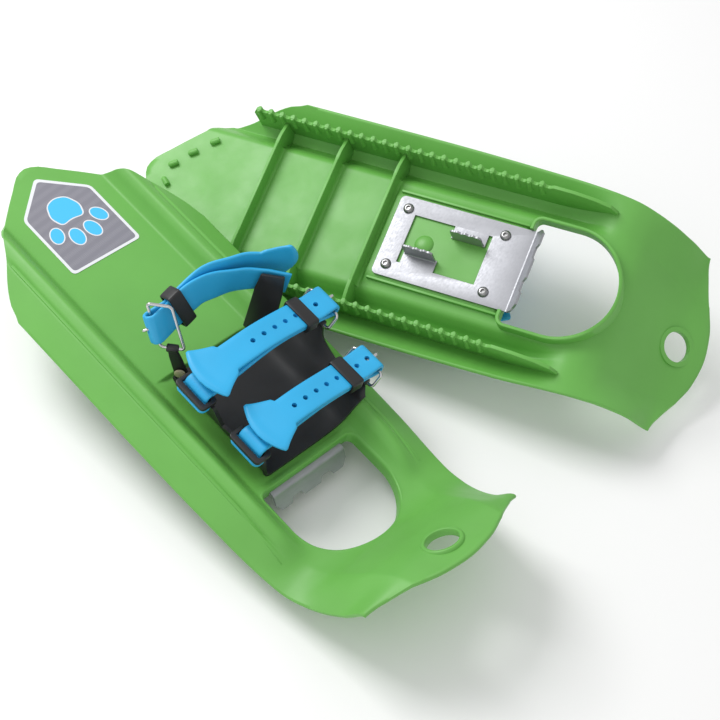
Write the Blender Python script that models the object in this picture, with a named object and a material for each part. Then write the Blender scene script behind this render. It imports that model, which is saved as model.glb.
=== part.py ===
"""A pair of moulded snowshoes: the right one turned over, the left one lying with its tail on the right one's tail.

Each shoe is built once in its own frame, in millimetres: +y from tail to toe, +x to the wearer's right,
z = 0 on the flat panel's upper face. Every node is then placed in the world frame in metres, +Z up.
The right shoe's binding is the mirror image of the left one's."""

from math import cos, pi, sin

import bmesh
import bpy
import numpy as np
from mathutils import Euler, Matrix, Vector

MM = 0.001
WELD_WITHIN = 0.00003

# Placement of each shoe: origin in millimetres and turn in degrees.
LEFT_ORIGIN = (125.7, -198.9, 74.3)
LEFT_TURN = (-8.17, -1.17, 0.17)
RIGHT_ORIGIN = (7.2, -183.4, 34.9)
RIGHT_TURN = (170.72, -24.47, -156.12)

# Deck, in the shoe's frame.
DECK_WALL = 3.0
CREST_X = 58.0
LIP_X = 88.0
RIDGE_HIGH = 13.0
TAIL_JOIN = 88.0
TOE_JOIN = 340.0
TAIL_LINE = [(0, -37), (8, -34.5), (20, -24), (33, -12), (48, 3), (58, 15), (67, 31), (77, 46), (84, 60), (88, 74)]
TOE_LINE = [(0, 427), (20, 424.5), (41, 418), (58, 413), (73, 409.5)]
LIP_X_ALONG = [(0, 88), (180, 87.5), (300, 85.0), (350, 81), (383, 76.5), (395, 74.5), (410, 73)]
LIP_Z_ALONG = [(0, -5), (320, -5), (350, -2.5), (370, 5), (383, 14), (395, 27), (410, 49)]
CREST_X_ALONG = [(0, 58), (300, 58), (330, 56.5), (355, 52), (385, 46), (415, 41)]
LIFT_ALONG = [(0, 0), (336, 0), (350, 2.2), (363, 9.5), (377, 27.5), (390, 45), (404, 60), (417, 69), (430, 77)]
RIDGE_ALONG = [(0, 1), (295, 1), (320, 0.72), (348, 0)]
HALF_SECTION = [(0, 0), (31, 0), (44.5, 0), (49, 4.2), (53, 9.8), (58, 13), (65.5, 9.6), (77, 2.6), (88, -5)]
MIDDLE_ROWS = (88, 130, 173.5, 175.5, 230, 280, 286, 305, 325, 340)
TAIL_ROWS = 3
TOE_ROWS = 9

RECESS_DEEP = 3.0
RECESS_FROM = 174.5
RECESS_TO = 283.0
RECESS_HALF = 31.0
RECESS_SLOPE = 13.5

TOE_HOLE_REAR = 288.0
TOE_HOLE_HALF = 43.5
TOE_HOLE_STRAIGHT = 322.0
TOE_HOLE_FRONT = 364.0
TOE_HOLE_WALL = 3.0
TOE_HOLE_DEEP = 11.0

HANG_Y = 404.7
HANG_Z = 60.6
HANG_TILT = 41.0
HANG_RADIUS = 11.8
HANG_WALL = 3.6

RIB_ROWS = (67.0, 120.0, 170.0)
RIB_THICK = 2.6
RIB_BOTTOM = -15.0
FIN_X = 66.5
FIN_THICK = 2.6
FIN_BOTTOM = -22.0
FIN_START = 38.0
FIN_TOOTH = 10.0
FIN_TOOTH_DEEP = 3.2

# Crampon plate under the foot.
PLATE_HALF = 33.8
PLATE_REAR = 180.0
PLATE_FRONT = 294.0
PLATE_TOP = -6.4
PLATE_THICK = 1.6
PLATE_TOOTH_TIP = -19.0
PLATE_LEAN = 0.6
PLATE_TAB_TALL = 15.0
SCREW_X = 24.0
SCREW_ROWS = (189.0, 269.0)
SCREW_RADIUS = 4.2
SCREW_TALL = 2.2

# Binding.
BASE_BOTTOM = -2.6
BASE_TOP = 0.6
BASE_WALL = 2.6
STRAP_WIDE = 22.5
STRAP_THICK = 2.8
LAYER_GAP = 0.5
WIRE_RADIUS = 1.2
PRONG_EYE = 2.2
RING_HALF = 15.0
KEEPER_LONG = 11.0
KEEPER_WALL = 1.5
KEEPER_GAP = 0.5
TAB_WIDTHS = (36.0, 44.0, 38.0, 24.0)
HOLE_RADIUS = 2.1
HOLE_PITCH = 10.3

# Front straps: the strap's line from its anchor to the ring, all in the x-z plane at one y.
# anchor: where the lower layer goes through the base's loop; near, far: ends of the straight run of the
# upper layer; bar: the ring's bar in the fold; hinge_bar: the ring's bar in the wing; tab: the tab's tip.
FRONT_STRAPS = {
    "toe": dict(y=262.0, anchor=(35.0, 27.5), near=(-22.0, 38.6), far=(-66.0, 33.4), bar=(-77.0, 30.6),
                hinge_bar=(-69.0, 21.5), tab=(31.0, 34.5), lift=(4.0, 38.4)),
    "instep": dict(y=211.0, anchor=(42.0, 37.5), near=(-20.0, 54.0), far=(-66.0, 47.6), bar=(-77.0, 44.6),
                   hinge_bar=(-70.0, 34.0), tab=(42.0, 48.5), lift=(10.0, 53.0)),
}

# Colours of the materials, linear.
GREEN = (0.165, 0.475, 0.095)
BLUE = (0.035, 0.42, 0.80)
BLACK = (0.018, 0.018, 0.019)
STEEL = (0.62, 0.63, 0.64)
BEIGE = (0.46, 0.40, 0.26)
GREY = (0.24, 0.24, 0.27)


def along(points, value):
    """A smooth curve through (position, value) points, flat beyond its ends."""
    xs = np.array([p[0] for p in points], float)
    ys = np.array([p[1] for p in points], float)
    steps = np.diff(ys) / np.diff(xs)
    slopes = np.zeros(len(xs))
    for i in range(1, len(xs) - 1):
        if steps[i - 1] * steps[i] > 0:
            slopes[i] = 2 * steps[i - 1] * steps[i] / (steps[i - 1] + steps[i])
    value = min(max(value, xs[0]), xs[-1])
    i = min(int(np.searchsorted(xs, value, side="right")) - 1, len(xs) - 2)
    wide = xs[i + 1] - xs[i]
    t = (value - xs[i]) / wide
    return float(
        ys[i] * (2 * t**3 - 3 * t**2 + 1)
        + slopes[i] * wide * (t**3 - 2 * t**2 + t)
        + ys[i + 1] * (3 * t**2 - 2 * t**3)
        + slopes[i + 1] * wide * (t**3 - t**2)
    )


def ramp(value, low, high):
    return min(max((value - low) / (high - low), 0.0), 1.0)


def recess_depth(x, y):
    sides = ramp(RECESS_HALF + RECESS_SLOPE - abs(x), 0, RECESS_SLOPE)
    ends = ramp(y, RECESS_FROM - 1, RECESS_FROM + 1) * ramp(RECESS_TO + 3 - y, 0, 6)
    return RECESS_DEEP * sides * ends


def deck_point(section_x, section_z, y):
    """A point of the deck's upper face on the line that starts at section_x in the middle section."""
    crest = along(CREST_X_ALONG, y)
    lift = along(LIFT_ALONG, y)
    rise = along(RIDGE_ALONG, y)
    if section_x <= CREST_X:
        x = section_x * crest / CREST_X
        z = lift + rise * section_z
        return x, z - recess_depth(x, y)
    out = (section_x - CREST_X) / (LIP_X - CREST_X)
    x = crest + out * (along(LIP_X_ALONG, y) - crest)
    top = lift + rise * RIDGE_HIGH
    z = top + (along(LIP_Z_ALONG, y) - top) * out**1.15
    return x, z


def deck_rows(section_x):
    """Where the rows cross one lengthwise line, from the tail outline to the toe outline."""
    toe_x = section_x * 41 / CREST_X
    if section_x > CREST_X:
        toe_x = 41 + (section_x - CREST_X) / (LIP_X - CREST_X) * 32
    start = along(TAIL_LINE, section_x)
    end = along(TOE_LINE, toe_x)
    tail = [start + (TAIL_JOIN - start) * i / TAIL_ROWS for i in range(TAIL_ROWS)]
    toe = [TOE_JOIN + (end - TOE_JOIN) * (i + 1) / TOE_ROWS for i in range(TOE_ROWS)]
    return tail + list(MIDDLE_ROWS) + toe


def deck_shell():
    """The moulded sheet as one closed mesh: upper face, lower face and the rim between them."""
    half = []
    for section_x, section_z in HALF_SECTION:
        rows = deck_rows(section_x)
        half.append([(deck_point(section_x, section_z, y), y) for y in rows])
    lines = []
    for line in reversed(half[1:]):
        lines.append([(-x, y, z) for (x, z), y in line])
    for line in half:
        lines.append([(x, y, z) for (x, z), y in line])
    top = np.array(lines)
    across = np.gradient(top, axis=0)
    length = np.gradient(top, axis=1)
    normal = np.cross(across, length)
    normal /= np.linalg.norm(normal, axis=2)[:, :, None]
    bottom = top - DECK_WALL * normal
    count_x, count_y = top.shape[:2]
    points = [tuple(p) for p in top.reshape(-1, 3)] + [tuple(p) for p in bottom.reshape(-1, 3)]
    low = count_x * count_y

    def at(i, j):
        return i * count_y + j

    faces = []
    for i in range(count_x - 1):
        for j in range(count_y - 1):
            quad = [at(i, j), at(i + 1, j), at(i + 1, j + 1), at(i, j + 1)]
            faces.append(quad)
            faces.append([low + k for k in reversed(quad)])
    rim = [at(i, 0) for i in range(count_x)]
    rim += [at(count_x - 1, j) for j in range(1, count_y)]
    rim += [at(i, count_y - 1) for i in range(count_x - 2, -1, -1)]
    rim += [at(0, j) for j in range(count_y - 2, 0, -1)]
    for a, b in zip(rim, rim[1:] + rim[:1]):
        faces.append([b, a, low + a, low + b])
    return points, faces


def prism(outline, low, high, axis="z"):
    """An outline of (a, b) points drawn out along one axis from low to high."""
    area = sum(a[0] * b[1] - b[0] * a[1] for a, b in zip(outline, outline[1:] + outline[:1]))
    if area < 0:
        outline = outline[::-1]
    order = {"z": lambda a, b, c: (a, b, c), "x": lambda a, b, c: (c, a, b), "y": lambda a, b, c: (b, c, a)}[axis]
    points = [order(a, b, low) for a, b in outline] + [order(a, b, high) for a, b in outline]
    n = len(outline)
    faces = [list(range(n))[::-1], list(range(n, 2 * n))]
    faces += [[i, (i + 1) % n, n + (i + 1) % n, n + i] for i in range(n)]
    return points, faces


def ring_points(radius, count, start=0.0):
    return [(radius * cos(start + 2 * pi * i / count), radius * sin(start + 2 * pi * i / count)) for i in range(count)]


def cylinder(center, axis, radius, length, count=12):
    """A closed cylinder centred on a point, along a direction."""
    direction = Vector(axis).normalized()
    turn = direction.to_track_quat("Z", "Y").to_matrix()
    points, faces = prism(ring_points(radius, count), -length / 2, length / 2)
    return [tuple(Vector(center) + turn @ Vector(p)) for p in points], faces


def sweep(path, sides, widths, thick, closed=False):
    """A flat band along a path: sides are its width directions, widths its full widths, thick its thickness."""
    path = [Vector(p) for p in path]
    count = len(path)
    points, faces = [], []
    for i, here in enumerate(path):
        ahead = path[(i + 1) % count] if closed or i < count - 1 else here
        behind = path[i - 1] if closed or i > 0 else here
        tangent = (ahead - behind).normalized()
        side = Vector(sides[i]).normalized()
        side = (side - tangent * side.dot(tangent)).normalized()
        up = tangent.cross(side)
        a = side * widths[i] / 2
        b = up * thick / 2
        points += [tuple(here - a - b), tuple(here + a - b), tuple(here + a + b), tuple(here - a + b)]
    runs = count if closed else count - 1
    for i in range(runs):
        one, two = 4 * i, 4 * ((i + 1) % count)
        for k in range(4):
            faces.append([one + k, one + (k + 1) % 4, two + (k + 1) % 4, two + k])
    if not closed:
        faces.append([3, 2, 1, 0])
        last = 4 * (count - 1)
        faces.append([last, last + 1, last + 2, last + 3])
    return points, faces


def tube(path, radius, count=8, closed=False):
    """A round bar along a path."""
    path = [Vector(p) for p in path]
    total = len(path)
    points, faces = [], []
    side = (path[1] - path[0]).orthogonal().normalized()
    if closed:
        side = sum((a.cross(b) for a, b in zip(path, path[1:] + path[:1])), Vector()).normalized()
    for i, here in enumerate(path):
        ahead = path[(i + 1) % total] if closed or i < total - 1 else here
        behind = path[i - 1] if closed or i > 0 else here
        tangent = (ahead - behind).normalized()
        side = (side - tangent * side.dot(tangent)).normalized()
        up = tangent.cross(side)
        for x, y in ring_points(radius, count):
            points.append(tuple(here + side * x + up * y))
    runs = total if closed else total - 1
    for i in range(runs):
        one, two = count * i, count * ((i + 1) % total)
        for k in range(count):
            faces.append([one + k, one + (k + 1) % count, two + (k + 1) % count, two + k])
    if not closed:
        faces.append(list(range(count))[::-1])
        faces.append([count * (total - 1) + k for k in range(count)])
    return points, faces


def rounded_rectangle(half_a, half_b, radius, steps=2):
    """Corner points of a rounded rectangle, anticlockwise."""
    points = []
    for corner, (sa, sb) in enumerate([(1, 1), (-1, 1), (-1, -1), (1, -1)]):
        for i in range(steps + 1):
            angle = pi / 2 * (corner + i / steps)
            points.append((sa * (half_a - radius) + radius * cos(angle), sb * (half_b - radius) + radius * sin(angle)))
    return points


def toe_hole_outline(grow):
    """The D-shaped toe hole, grown outwards by a distance."""
    half = TOE_HOLE_HALF + grow
    reach = TOE_HOLE_FRONT - TOE_HOLE_STRAIGHT + grow
    rear = TOE_HOLE_REAR - grow
    points = [(half - 5, rear), (half, rear + 5)]
    for i in range(13):
        angle = pi * i / 12
        points.append((half * cos(angle), TOE_HOLE_STRAIGHT + reach * sin(angle)))
    return points + [(-half, rear + 5), (-half + 5, rear)]


def fin_outline():
    """One traction fin seen from the side, as (y, z) points."""
    points = [(FIN_START, 8.6), (FIN_START, FIN_BOTTOM + 6)]
    y = FIN_START + 6
    while y < 286:
        points += [(y, FIN_BOTTOM), (y + FIN_TOOTH / 2, FIN_BOTTOM + FIN_TOOTH_DEEP)]
        y += FIN_TOOTH
    return points + [(y, FIN_BOTTOM + 0.6), (326, FIN_BOTTOM + 2.5), (338, FIN_BOTTOM + 8), (343, -5.0), (336, 0.5),
                     (322, 4.5), (300, 7.5), (290, 8.5)]


def plate_outline():
    return [(x, y + (PLATE_REAR + PLATE_FRONT) / 2) for x, y in
            rounded_rectangle(PLATE_HALF, (PLATE_FRONT - PLATE_REAR) / 2, 3.0)]


def z_cut_outline():
    return [(20, 199), (10.5, 199), (10.5, 226.5), (20.5, 226.5), (20.5, 260), (-20.5, 260), (-20.5, 257),
            (-10.5, 257), (-10.5, 229.5), (-20.5, 229.5), (-20.5, 196), (20, 196)]


def slab(corners, thick):
    """A four-cornered sheet given thickness along its own normal."""
    corners = [Vector(c) for c in corners]
    normal = (corners[2] - corners[0]).cross(corners[3] - corners[1]).normalized() * thick
    points = [tuple(c) for c in corners] + [tuple(c + normal) for c in corners]
    faces = [[3, 2, 1, 0], [4, 5, 6, 7], [0, 1, 5, 4], [1, 2, 6, 5], [2, 3, 7, 6], [3, 0, 4, 7]]
    return points, faces


def clear_scene():
    for thing in list(bpy.data.objects):
        bpy.data.objects.remove(thing, do_unlink=True)


def material(name, color, metallic, roughness):
    made = bpy.data.materials.new(name)
    made.use_nodes = True
    shader = made.node_tree.nodes["Principled BSDF"]
    shader.inputs["Base Color"].default_value = (*color, 1.0)
    shader.inputs["Metallic"].default_value = metallic
    shader.inputs["Roughness"].default_value = roughness
    return made


class Shoe:
    """Places pieces of one shoe: side is 1 on the left shoe and -1 on the right one, whose binding is mirrored."""

    def __init__(self, name, origin, turn, side):
        self.name = name
        self.side = side
        turn = [angle * pi / 180 for angle in turn]
        self.frame = Matrix.Translation(Vector(origin) * MM) @ Euler(turn, "XYZ").to_matrix().to_4x4()

    def place(self, point):
        return self.frame @ (Vector((self.side * point[0], point[1], point[2])) * MM)

    def mesh(self, label, parts, pivot=(0, 0, 0)):
        """One object from (points, faces) parts, its origin at a point of the shoe."""
        origin = self.place(pivot)
        points, faces = [], []
        for part_points, part_faces in parts:
            start = len(points)
            points += [tuple(self.place(p) - origin) for p in part_points]
            for face in part_faces:
                face = [start + k for k in face]
                faces.append(face[::-1] if self.side < 0 else face)
        data = bpy.data.meshes.new(label)
        data.from_pydata(points, [], faces)
        shape = bmesh.new()
        shape.from_mesh(data)
        bmesh.ops.triangulate(shape, faces=shape.faces)
        bmesh.ops.recalc_face_normals(shape, faces=shape.faces)
        shape.to_mesh(data)
        shape.free()
        made = bpy.data.objects.new(label, data)
        made.location = origin
        bpy.context.scene.collection.objects.link(made)
        return made

    def node(self, label, part, joins=(), cuts=(), look=None, pivot=(0, 0, 0)):
        """A named sub-part: one body, others joined to it and others cut from it."""
        name = f"{self.name}_{label}"
        made = self.mesh(name, [part], pivot)
        for number, other in enumerate(joins):
            self.combine(made, f"{name}_join_{number}", other, "UNION")
        for number, other in enumerate(cuts):
            self.combine(made, f"{name}_cut_{number}", other, "DIFFERENCE")
        if joins or cuts:
            weld = made.modifiers.new("weld", "WELD")
            weld.merge_threshold = WELD_WITHIN
        made.data.materials.append(material(name, *look))
        return made

    def combine(self, made, label, part, operation):
        tool = self.mesh(label, part if isinstance(part, list) else [part])
        tool.hide_render = True
        tool.display_type = "WIRE"
        boolean = made.modifiers.new(label, "BOOLEAN")
        boolean.operation = operation
        boolean.solver = "EXACT"
        boolean.object = tool


def add_deck(shoe):
    ribs = []
    for y in RIB_ROWS:
        outline = [(-64, RIB_BOTTOM + 3), (-52, RIB_BOTTOM), (52, RIB_BOTTOM), (64, RIB_BOTTOM + 3),
                   (64, -7), (47, -1.4), (-47, -1.4), (-64, -7)]
        points, faces = prism(outline, -RIB_THICK / 2, RIB_THICK / 2)
        ribs.append(([(a, y + c, b) for a, b, c in points], faces))
    fins = []
    for x in (-FIN_X, FIN_X):
        fins.append(prism(fin_outline(), x - FIN_THICK / 2, x + FIN_THICK / 2, "x"))
    wall = prism(toe_hole_outline(TOE_HOLE_WALL), -TOE_HOLE_DEEP, -1.2)
    hang = Matrix.Rotation(HANG_TILT * pi / 180, 3, "X") @ Vector((0, 0, 1))
    center = Vector((0, HANG_Y, HANG_Z)) - hang * 3.6
    collar = cylinder(center, hang, HANG_RADIUS + HANG_WALL, 4.6, 16)
    toe_cut = prism(toe_hole_outline(0), -40, 60)
    hang_cut = cylinder((0, HANG_Y, HANG_Z), hang, HANG_RADIUS, 30, 16)
    half = PLATE_HALF + 0.4
    plate_cut = prism([(-half, 282.3), (half, 282.3), (half, 300), (-half, 300)], -30, PLATE_TOP + 0.3)
    shoe.node("deck", deck_shell(), [*ribs, *fins, wall, collar], [toe_cut, hang_cut, plate_cut], (GREEN, 0.0, 0.45))


def add_crampon(shoe):
    low, high = PLATE_TOP - PLATE_THICK, PLATE_TOP
    notch = PLATE_TOOTH_TIP + 3.6
    flange = [(-31, low + 0.8), (-33.2, -13), (-29, PLATE_TOOTH_TIP), (-22, PLATE_TOOTH_TIP), (-18, notch),
              (-11, notch), (-7, PLATE_TOOTH_TIP), (7, PLATE_TOOTH_TIP), (11, notch), (18, notch),
              (22, PLATE_TOOTH_TIP), (29, PLATE_TOOTH_TIP), (33.2, -13), (31, low + 0.8)]
    points, faces = prism(flange, PLATE_FRONT - PLATE_THICK - 0.2, PLATE_FRONT - 0.2)
    teeth = ([(a, c + PLATE_LEAN * (low - b), b) for a, b, c in points], faces)
    tabs = []
    for x, y0, y1, way in ((10.5, 200, 225, -1), (-10.5, 231, 256, 1)):
        outline = [(y0, high - 0.6), (y0 + 1, low - PLATE_TAB_TALL), (y0 + 5, low - PLATE_TAB_TALL + 2.5),
                   (y0 + 9, low - PLATE_TAB_TALL), (y0 + 14, low - PLATE_TAB_TALL + 2.5),
                   (y0 + 19, low - PLATE_TAB_TALL), (y1, low - PLATE_TAB_TALL + 1), (y1, high - 0.6)]
        tabs.append(prism(outline, x - way * 0.9, x + way * 0.7, "x"))
    shoe.node("crampon_plate", prism(plate_outline(), low, high), [teeth, *tabs],
              [prism(z_cut_outline(), low - 3, high + 3)], (STEEL, 1.0, 0.32))
    for y, end in zip(SCREW_ROWS, ("rear", "front")):
        for x, hand in ((-SCREW_X, "outer"), (SCREW_X, "inner")):
            top = low - 0.3
            head = cylinder((x, y, top - SCREW_TALL / 2), (0, 0, 1), SCREW_RADIUS, SCREW_TALL, 16)
            socket = cylinder((x, y, top - SCREW_TALL), (0, 0, 1), 1.9, 2.4, 6)
            shoe.node(f"screw_{end}_{hand}", head, [], [socket], (STEEL, 1.0, 0.3))


def base_outline():
    return [(27, 176.2), (29.5, 180), (29.5, 274), (25, 279.2), (-26, 279.2), (-30.5, 274), (-30.5, 180), (-27, 176.2)]


def side_prism(outline, low, high):
    """An outline of (x, z) points drawn out along y."""
    points, faces = prism(outline, low, high)
    return [(a, c, b) for a, b, c in points], faces


def add_base(shoe):
    """The moulded cradle: floor, near wall with two strap loops, far wing and the two heel ears."""
    floor = prism(base_outline(), BASE_BOTTOM, BASE_TOP)
    joins = [side_prism([(26.7, -1.3), (29.3, -1.3), (33.0, 15.0), (30.6, 15.5)], 189, 271),
             side_prism([(-28, -2.4), (-30.7, -2.4), (-44.4, 0.8), (-48.6, 5.4), (-52.8, 11.0), (-57.5, 14.2),
                         (-60.2, 14.8), (-59.4, 17.4), (-56.0, 16.8), (-50.8, 13.0), (-46.8, 7.6), (-43.4, 3.4),
                         (-28, 0.3)], 178, 277)]
    cuts = []
    for name, data in FRONT_STRAPS.items():
        x, z = data["anchor"]
        y = data["y"]
        half = STRAP_WIDE / 2 + 4
        joins.append(side_prism([(26.2, -1.5), (29.4, -1.5), (x - 4.2, z - 5.2), (x + 7.5, z - 4.4),
                                 (x + 7.5, z - 1.8), (x - 7.5, z - 1.8)], y - half, y + half))
        slot = [(a + x, b + y) for a, b in rounded_rectangle(2.7, STRAP_WIDE / 2 + 0.8, 1.0)]
        cuts.append(prism(slot, z - 5.5, z + 6))
        room = [(a + x + 1.5, b + y) for a, b in rounded_rectangle(5.4, STRAP_WIDE / 2 + 4.4, 1.0)]
        cuts.append(prism(room, z - 12.5, z - 4.5))
        hx, hz = data["hinge_bar"]
        joins.append(side_prism([(-56.6, 16.0), (-57.2, 14.9), (-60.0, 15.4), (hx - 1.0, hz - 1.2),
                                 (hx + 1.6, hz + 0.4)],
                                y - 10.2, y + 10.2))
        joins.append(cylinder((hx, y, hz), (0, 1, 0), 3.1, 21, 12))
        cuts.append(cylinder((hx, y, hz), (0, 1, 0), WIRE_RADIUS + 0.4, 30, 12))
    foot, inner_foot = Vector(HEEL_RING_FOOT), Vector(HEEL_RING_HEEL_SIDE)
    reach = (inner_foot - foot).normalized()
    joins.append(slab([(26.5, 176.6, -1.0), (19.0, 184.5, -1.0), tuple(inner_foot - reach * 4.6),
                       tuple(foot + reach * 4.6)], BASE_WALL))
    joins.append(cylinder((foot + inner_foot) / 2, reach, 3.1, reach.dot(inner_foot - foot) - 8.2, 12))
    cuts.append(cylinder((foot + inner_foot) / 2, reach, WIRE_RADIUS + 0.4, 40, 12))
    joins.append(slab([(-42.5, 178.6, 1.2), (-43, 192, 1.2), (-59.0, 183.1, 61), (-49.5, 173.4, 61)], BASE_WALL))
    shoe.node("binding_base", floor, joins, cuts, (BLACK, 0.0, 0.5))


def front_strap_lines(data):
    """Centre lines of a front strap's fixed run and of its loose end, as (x, z) points."""
    near, far = Vector((*data["near"], 0)), Vector((*data["far"], 0))
    bar = Vector((*data["bar"], 0))
    along_strap = (near - far).normalized()
    up = Vector((-along_strap.y, along_strap.x, 0))
    if up.y < 0:
        up = -up
    drop = up * -(STRAP_THICK + LAYER_GAP)
    fold = 4.2
    loop = []
    for i in range(7):
        angle = pi / 2 + pi * i / 6
        loop.append(bar + along_strap * cos(angle) * fold + up * sin(angle) * fold)
    ax, az = data["anchor"]
    lower = [near + drop * 1.15, Vector((ax - 12, az + 1.5, 0)), Vector((ax - 4.0, az + 1.3, 0)),
             Vector((ax - 0.4, az - 1.2, 0)), Vector((ax, az - 5, 0)), Vector((ax, az - 7.5, 0))]
    fixed = [near, far, *loop, far + drop, *lower]
    loose = [near + along_strap * 0.4, Vector((*data["lift"], 0)), Vector((*data["tab"], 0))]
    return fixed, loose, along_strap, up


def add_front_strap(shoe, name, data):
    y = data["y"]
    fixed, loose, direction, up = front_strap_lines(data)
    side = (0, 1, 0)

    def lifted(p):
        return (p.x, y, p.y)

    path = [lifted(p) for p in fixed]
    band = sweep(path, [side] * len(path), [STRAP_WIDE] * len(path), STRAP_THICK)
    stopper_at = fixed[-1]
    stopper = prism([(a + stopper_at.x + 1.5, b + y) for a, b in rounded_rectangle(5.2, STRAP_WIDE / 2 + 3, 4.0)],
                    stopper_at.y - 2.2, stopper_at.y + 0.5)
    bar = Vector((*data["bar"], 0))
    slot_at = bar - direction * 3 + up * 1.2
    slot = prism([(a + slot_at.x, b + slot_at.y) for a, b in rounded_rectangle(6.0, 6.4, 1.0)], y - 2.6, y + 2.6)
    slot = ([(a, c, b) for a, b, c in slot[0]], slot[1])
    far = fixed[1]
    holes = []
    for step in (0.5, 1.5, 3.5):
        at = far + direction * HOLE_PITCH * step
        holes.append(cylinder((at.x, y, at.y), (up.x, 0, up.y), HOLE_RADIUS, STRAP_THICK * 1.6, 8))
    shoe.node(f"{name}_strap", band, [stopper], [slot, holes], (BLUE, 0.0, 0.4))

    turn = fixed[0] + up * STRAP_THICK / 2
    pivot = (turn.x, y, turn.y)
    start, middle, tip = loose
    line = [start + (middle - start) * t for t in (0, 0.5, 1)]
    line += [middle + (tip - middle) * t for t in (0.06, 0.45, 0.85, 1)]
    widths = [STRAP_WIDE, STRAP_WIDE, STRAP_WIDE, *TAB_WIDTHS]
    tail = sweep([lifted(p) for p in line], [side] * len(line), widths, STRAP_THICK)
    holes = []
    for step in (0.55, 1.45):
        at = start + (middle - start).normalized() * HOLE_PITCH * step
        holes.append(cylinder((at.x, y, at.y), (up.x, 0, up.y), HOLE_RADIUS, STRAP_THICK * 1.6, 8))
    shoe.node(f"{name}_strap_end", tail, [], [holes], (BLUE, 0.0, 0.4), pivot)

    hx, hz = data["hinge_bar"]
    corners = []
    span = Vector((data["bar"][0] - hx, 0, data["bar"][1] - hz))
    for a, b in rounded_rectangle(span.length / 2, RING_HALF, 2.6, 3):
        share = a / span.length + 0.5
        corners.append((hx + span.x * share, y + b, hz + span.z * share))
    shoe.node(f"{name}_ring", tube(corners, WIRE_RADIUS, 8, True), [], [], (STEEL, 1.0, 0.25), (hx, y, hz))

    bx, bz = data["bar"]
    sleeve = cylinder((bx, y, bz), (0, 1, 0), PRONG_EYE, 3.4, 12)
    tip = bar - direction * 8.5 + up * 3.0
    pin = tube([(bx - direction.x * 1.8, y, bz - direction.y * 1.8), (tip.x, y, tip.y)], 1.15, 8)
    bore = cylinder((bx, y, bz), (0, 1, 0), WIRE_RADIUS + 0.35, 8, 12)
    shoe.node(f"{name}_prong", sleeve, [pin], [bore], (STEEL, 1.0, 0.25), (bx, y, bz))

    center = far + direction * (KEEPER_LONG / 2 + 7.0) - up * (STRAP_THICK + LAYER_GAP) / 2
    add_keeper(shoe, name, Vector((center.x, y, center.y)), Vector((direction.x, 0, direction.y)),
               Vector((up.x, 0, up.y)), Vector((0, 1, 0)))


def keeper_box(center, direction, up, side, half_long, half_up, half_side):
    """A box square to the strap: half sizes along it, across its thickness and across its width."""
    corners = []
    for a in (-half_long, half_long):
        for b, c in ((-half_side, -half_up), (half_side, -half_up), (half_side, half_up), (-half_side, half_up)):
            corners.append(tuple(center + direction * a + up * c + side * b))
    faces = [[3, 2, 1, 0], [4, 5, 6, 7], [0, 1, 5, 4], [1, 2, 6, 5], [2, 3, 7, 6], [3, 0, 4, 7]]
    return corners, faces


def add_keeper(shoe, name, center, direction, up, side):
    """A plain band round both layers of a strap."""
    gap = KEEPER_GAP + (1.2 if name == "heel" else 0.0)
    half_up = STRAP_THICK + LAYER_GAP / 2 + gap
    half_side = STRAP_WIDE / 2 + gap
    outer = keeper_box(center, direction, up, side, KEEPER_LONG / 2, half_up + KEEPER_WALL, half_side + KEEPER_WALL)
    inner = keeper_box(center, direction, up, side, KEEPER_LONG, half_up, half_side)
    shoe.node(f"{name}_keeper", outer, [], [inner], (BLACK, 0.0, 0.45), tuple(center))


# Heel strap: points of the inner layer from the far ear round the heel to the ring, each with its width
# direction. The upturned shoe stands on its binding, so its heel strap leans back and lies lower.
HEEL_LINES = {
    "left": [((-65, 184.8, 47.5), (0, 0, 1)), ((-60, 180, 48), (0, 0, 1)), ((-51, 171.5, 49), (0, 0, 1)),
             ((-36, 162.5, 50), (0, -0.1, 1)), ((-12, 155.0, 50.5), (0, -0.35, 0.9)),
             ((4, 154.4, 48.8), (0, -0.45, 0.88)), ((20, 156.6, 44.6), (0, -0.5, 0.86))],
    "right": [((-65, 184.8, 46.5), (0, 0, 1)), ((-60, 180, 47), (0, 0, 1)), ((-51, 171.5, 47), (0, -0.2, 1)),
              ((-36, 162.5, 46.5), (0, -0.5, 0.85)), ((-12, 156.5, 43.0), (0, -0.76, 0.65)), ((4, 156.5, 39.5), (0, -0.84, 0.54)),
              ((20, 156.5, 34.0), (0, -0.92, 0.39))],
}
HEEL_RING_LEAN = {"left": (0.0, -0.55, 0.835), "right": (0.0, -0.92, 0.39)}
HEEL_RING_FOOT = (35.5, 165.5, 29.5)
HEEL_RING_HEEL_SIDE = (23.5, 177.5, 29.5)
HEEL_RING_TALL = 35.2
HEEL_FOLD_SHARE = 0.452
# Its loose end: points, width directions and widths.
HEEL_ENDS = {
    "left": [((-14, 149.4, 52.5), (0, -0.33, 0.94), 22.5), ((-40, 155.0, 56.5), (0, 0.0, 1), 22.5),
             ((-44, 157.0, 56.8), (0, 0.1, 1), 31), ((-58, 164.0, 57.5), (0, 0.15, 1), 35),
             ((-73, 173.0, 58.0), (0, 0.15, 1), 27), ((-79, 177.0, 58.5), (0, 0.15, 1), 14)],
    "right": [((-14, 150.4, 37.4), (0, -0.76, 0.65), 22.5), ((-40, 154.5, 44.0), (0, -0.5, 0.86), 22.5),
              ((-44, 155.6, 44.5), (0, -0.4, 0.92), 31), ((-58, 162.5, 46.8), (0, -0.2, 1), 35),
              ((-73, 172.0, 48.0), (0, 0, 1), 27), ((-79, 176.0, 48.5), (0, 0, 1), 14)],
}


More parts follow.
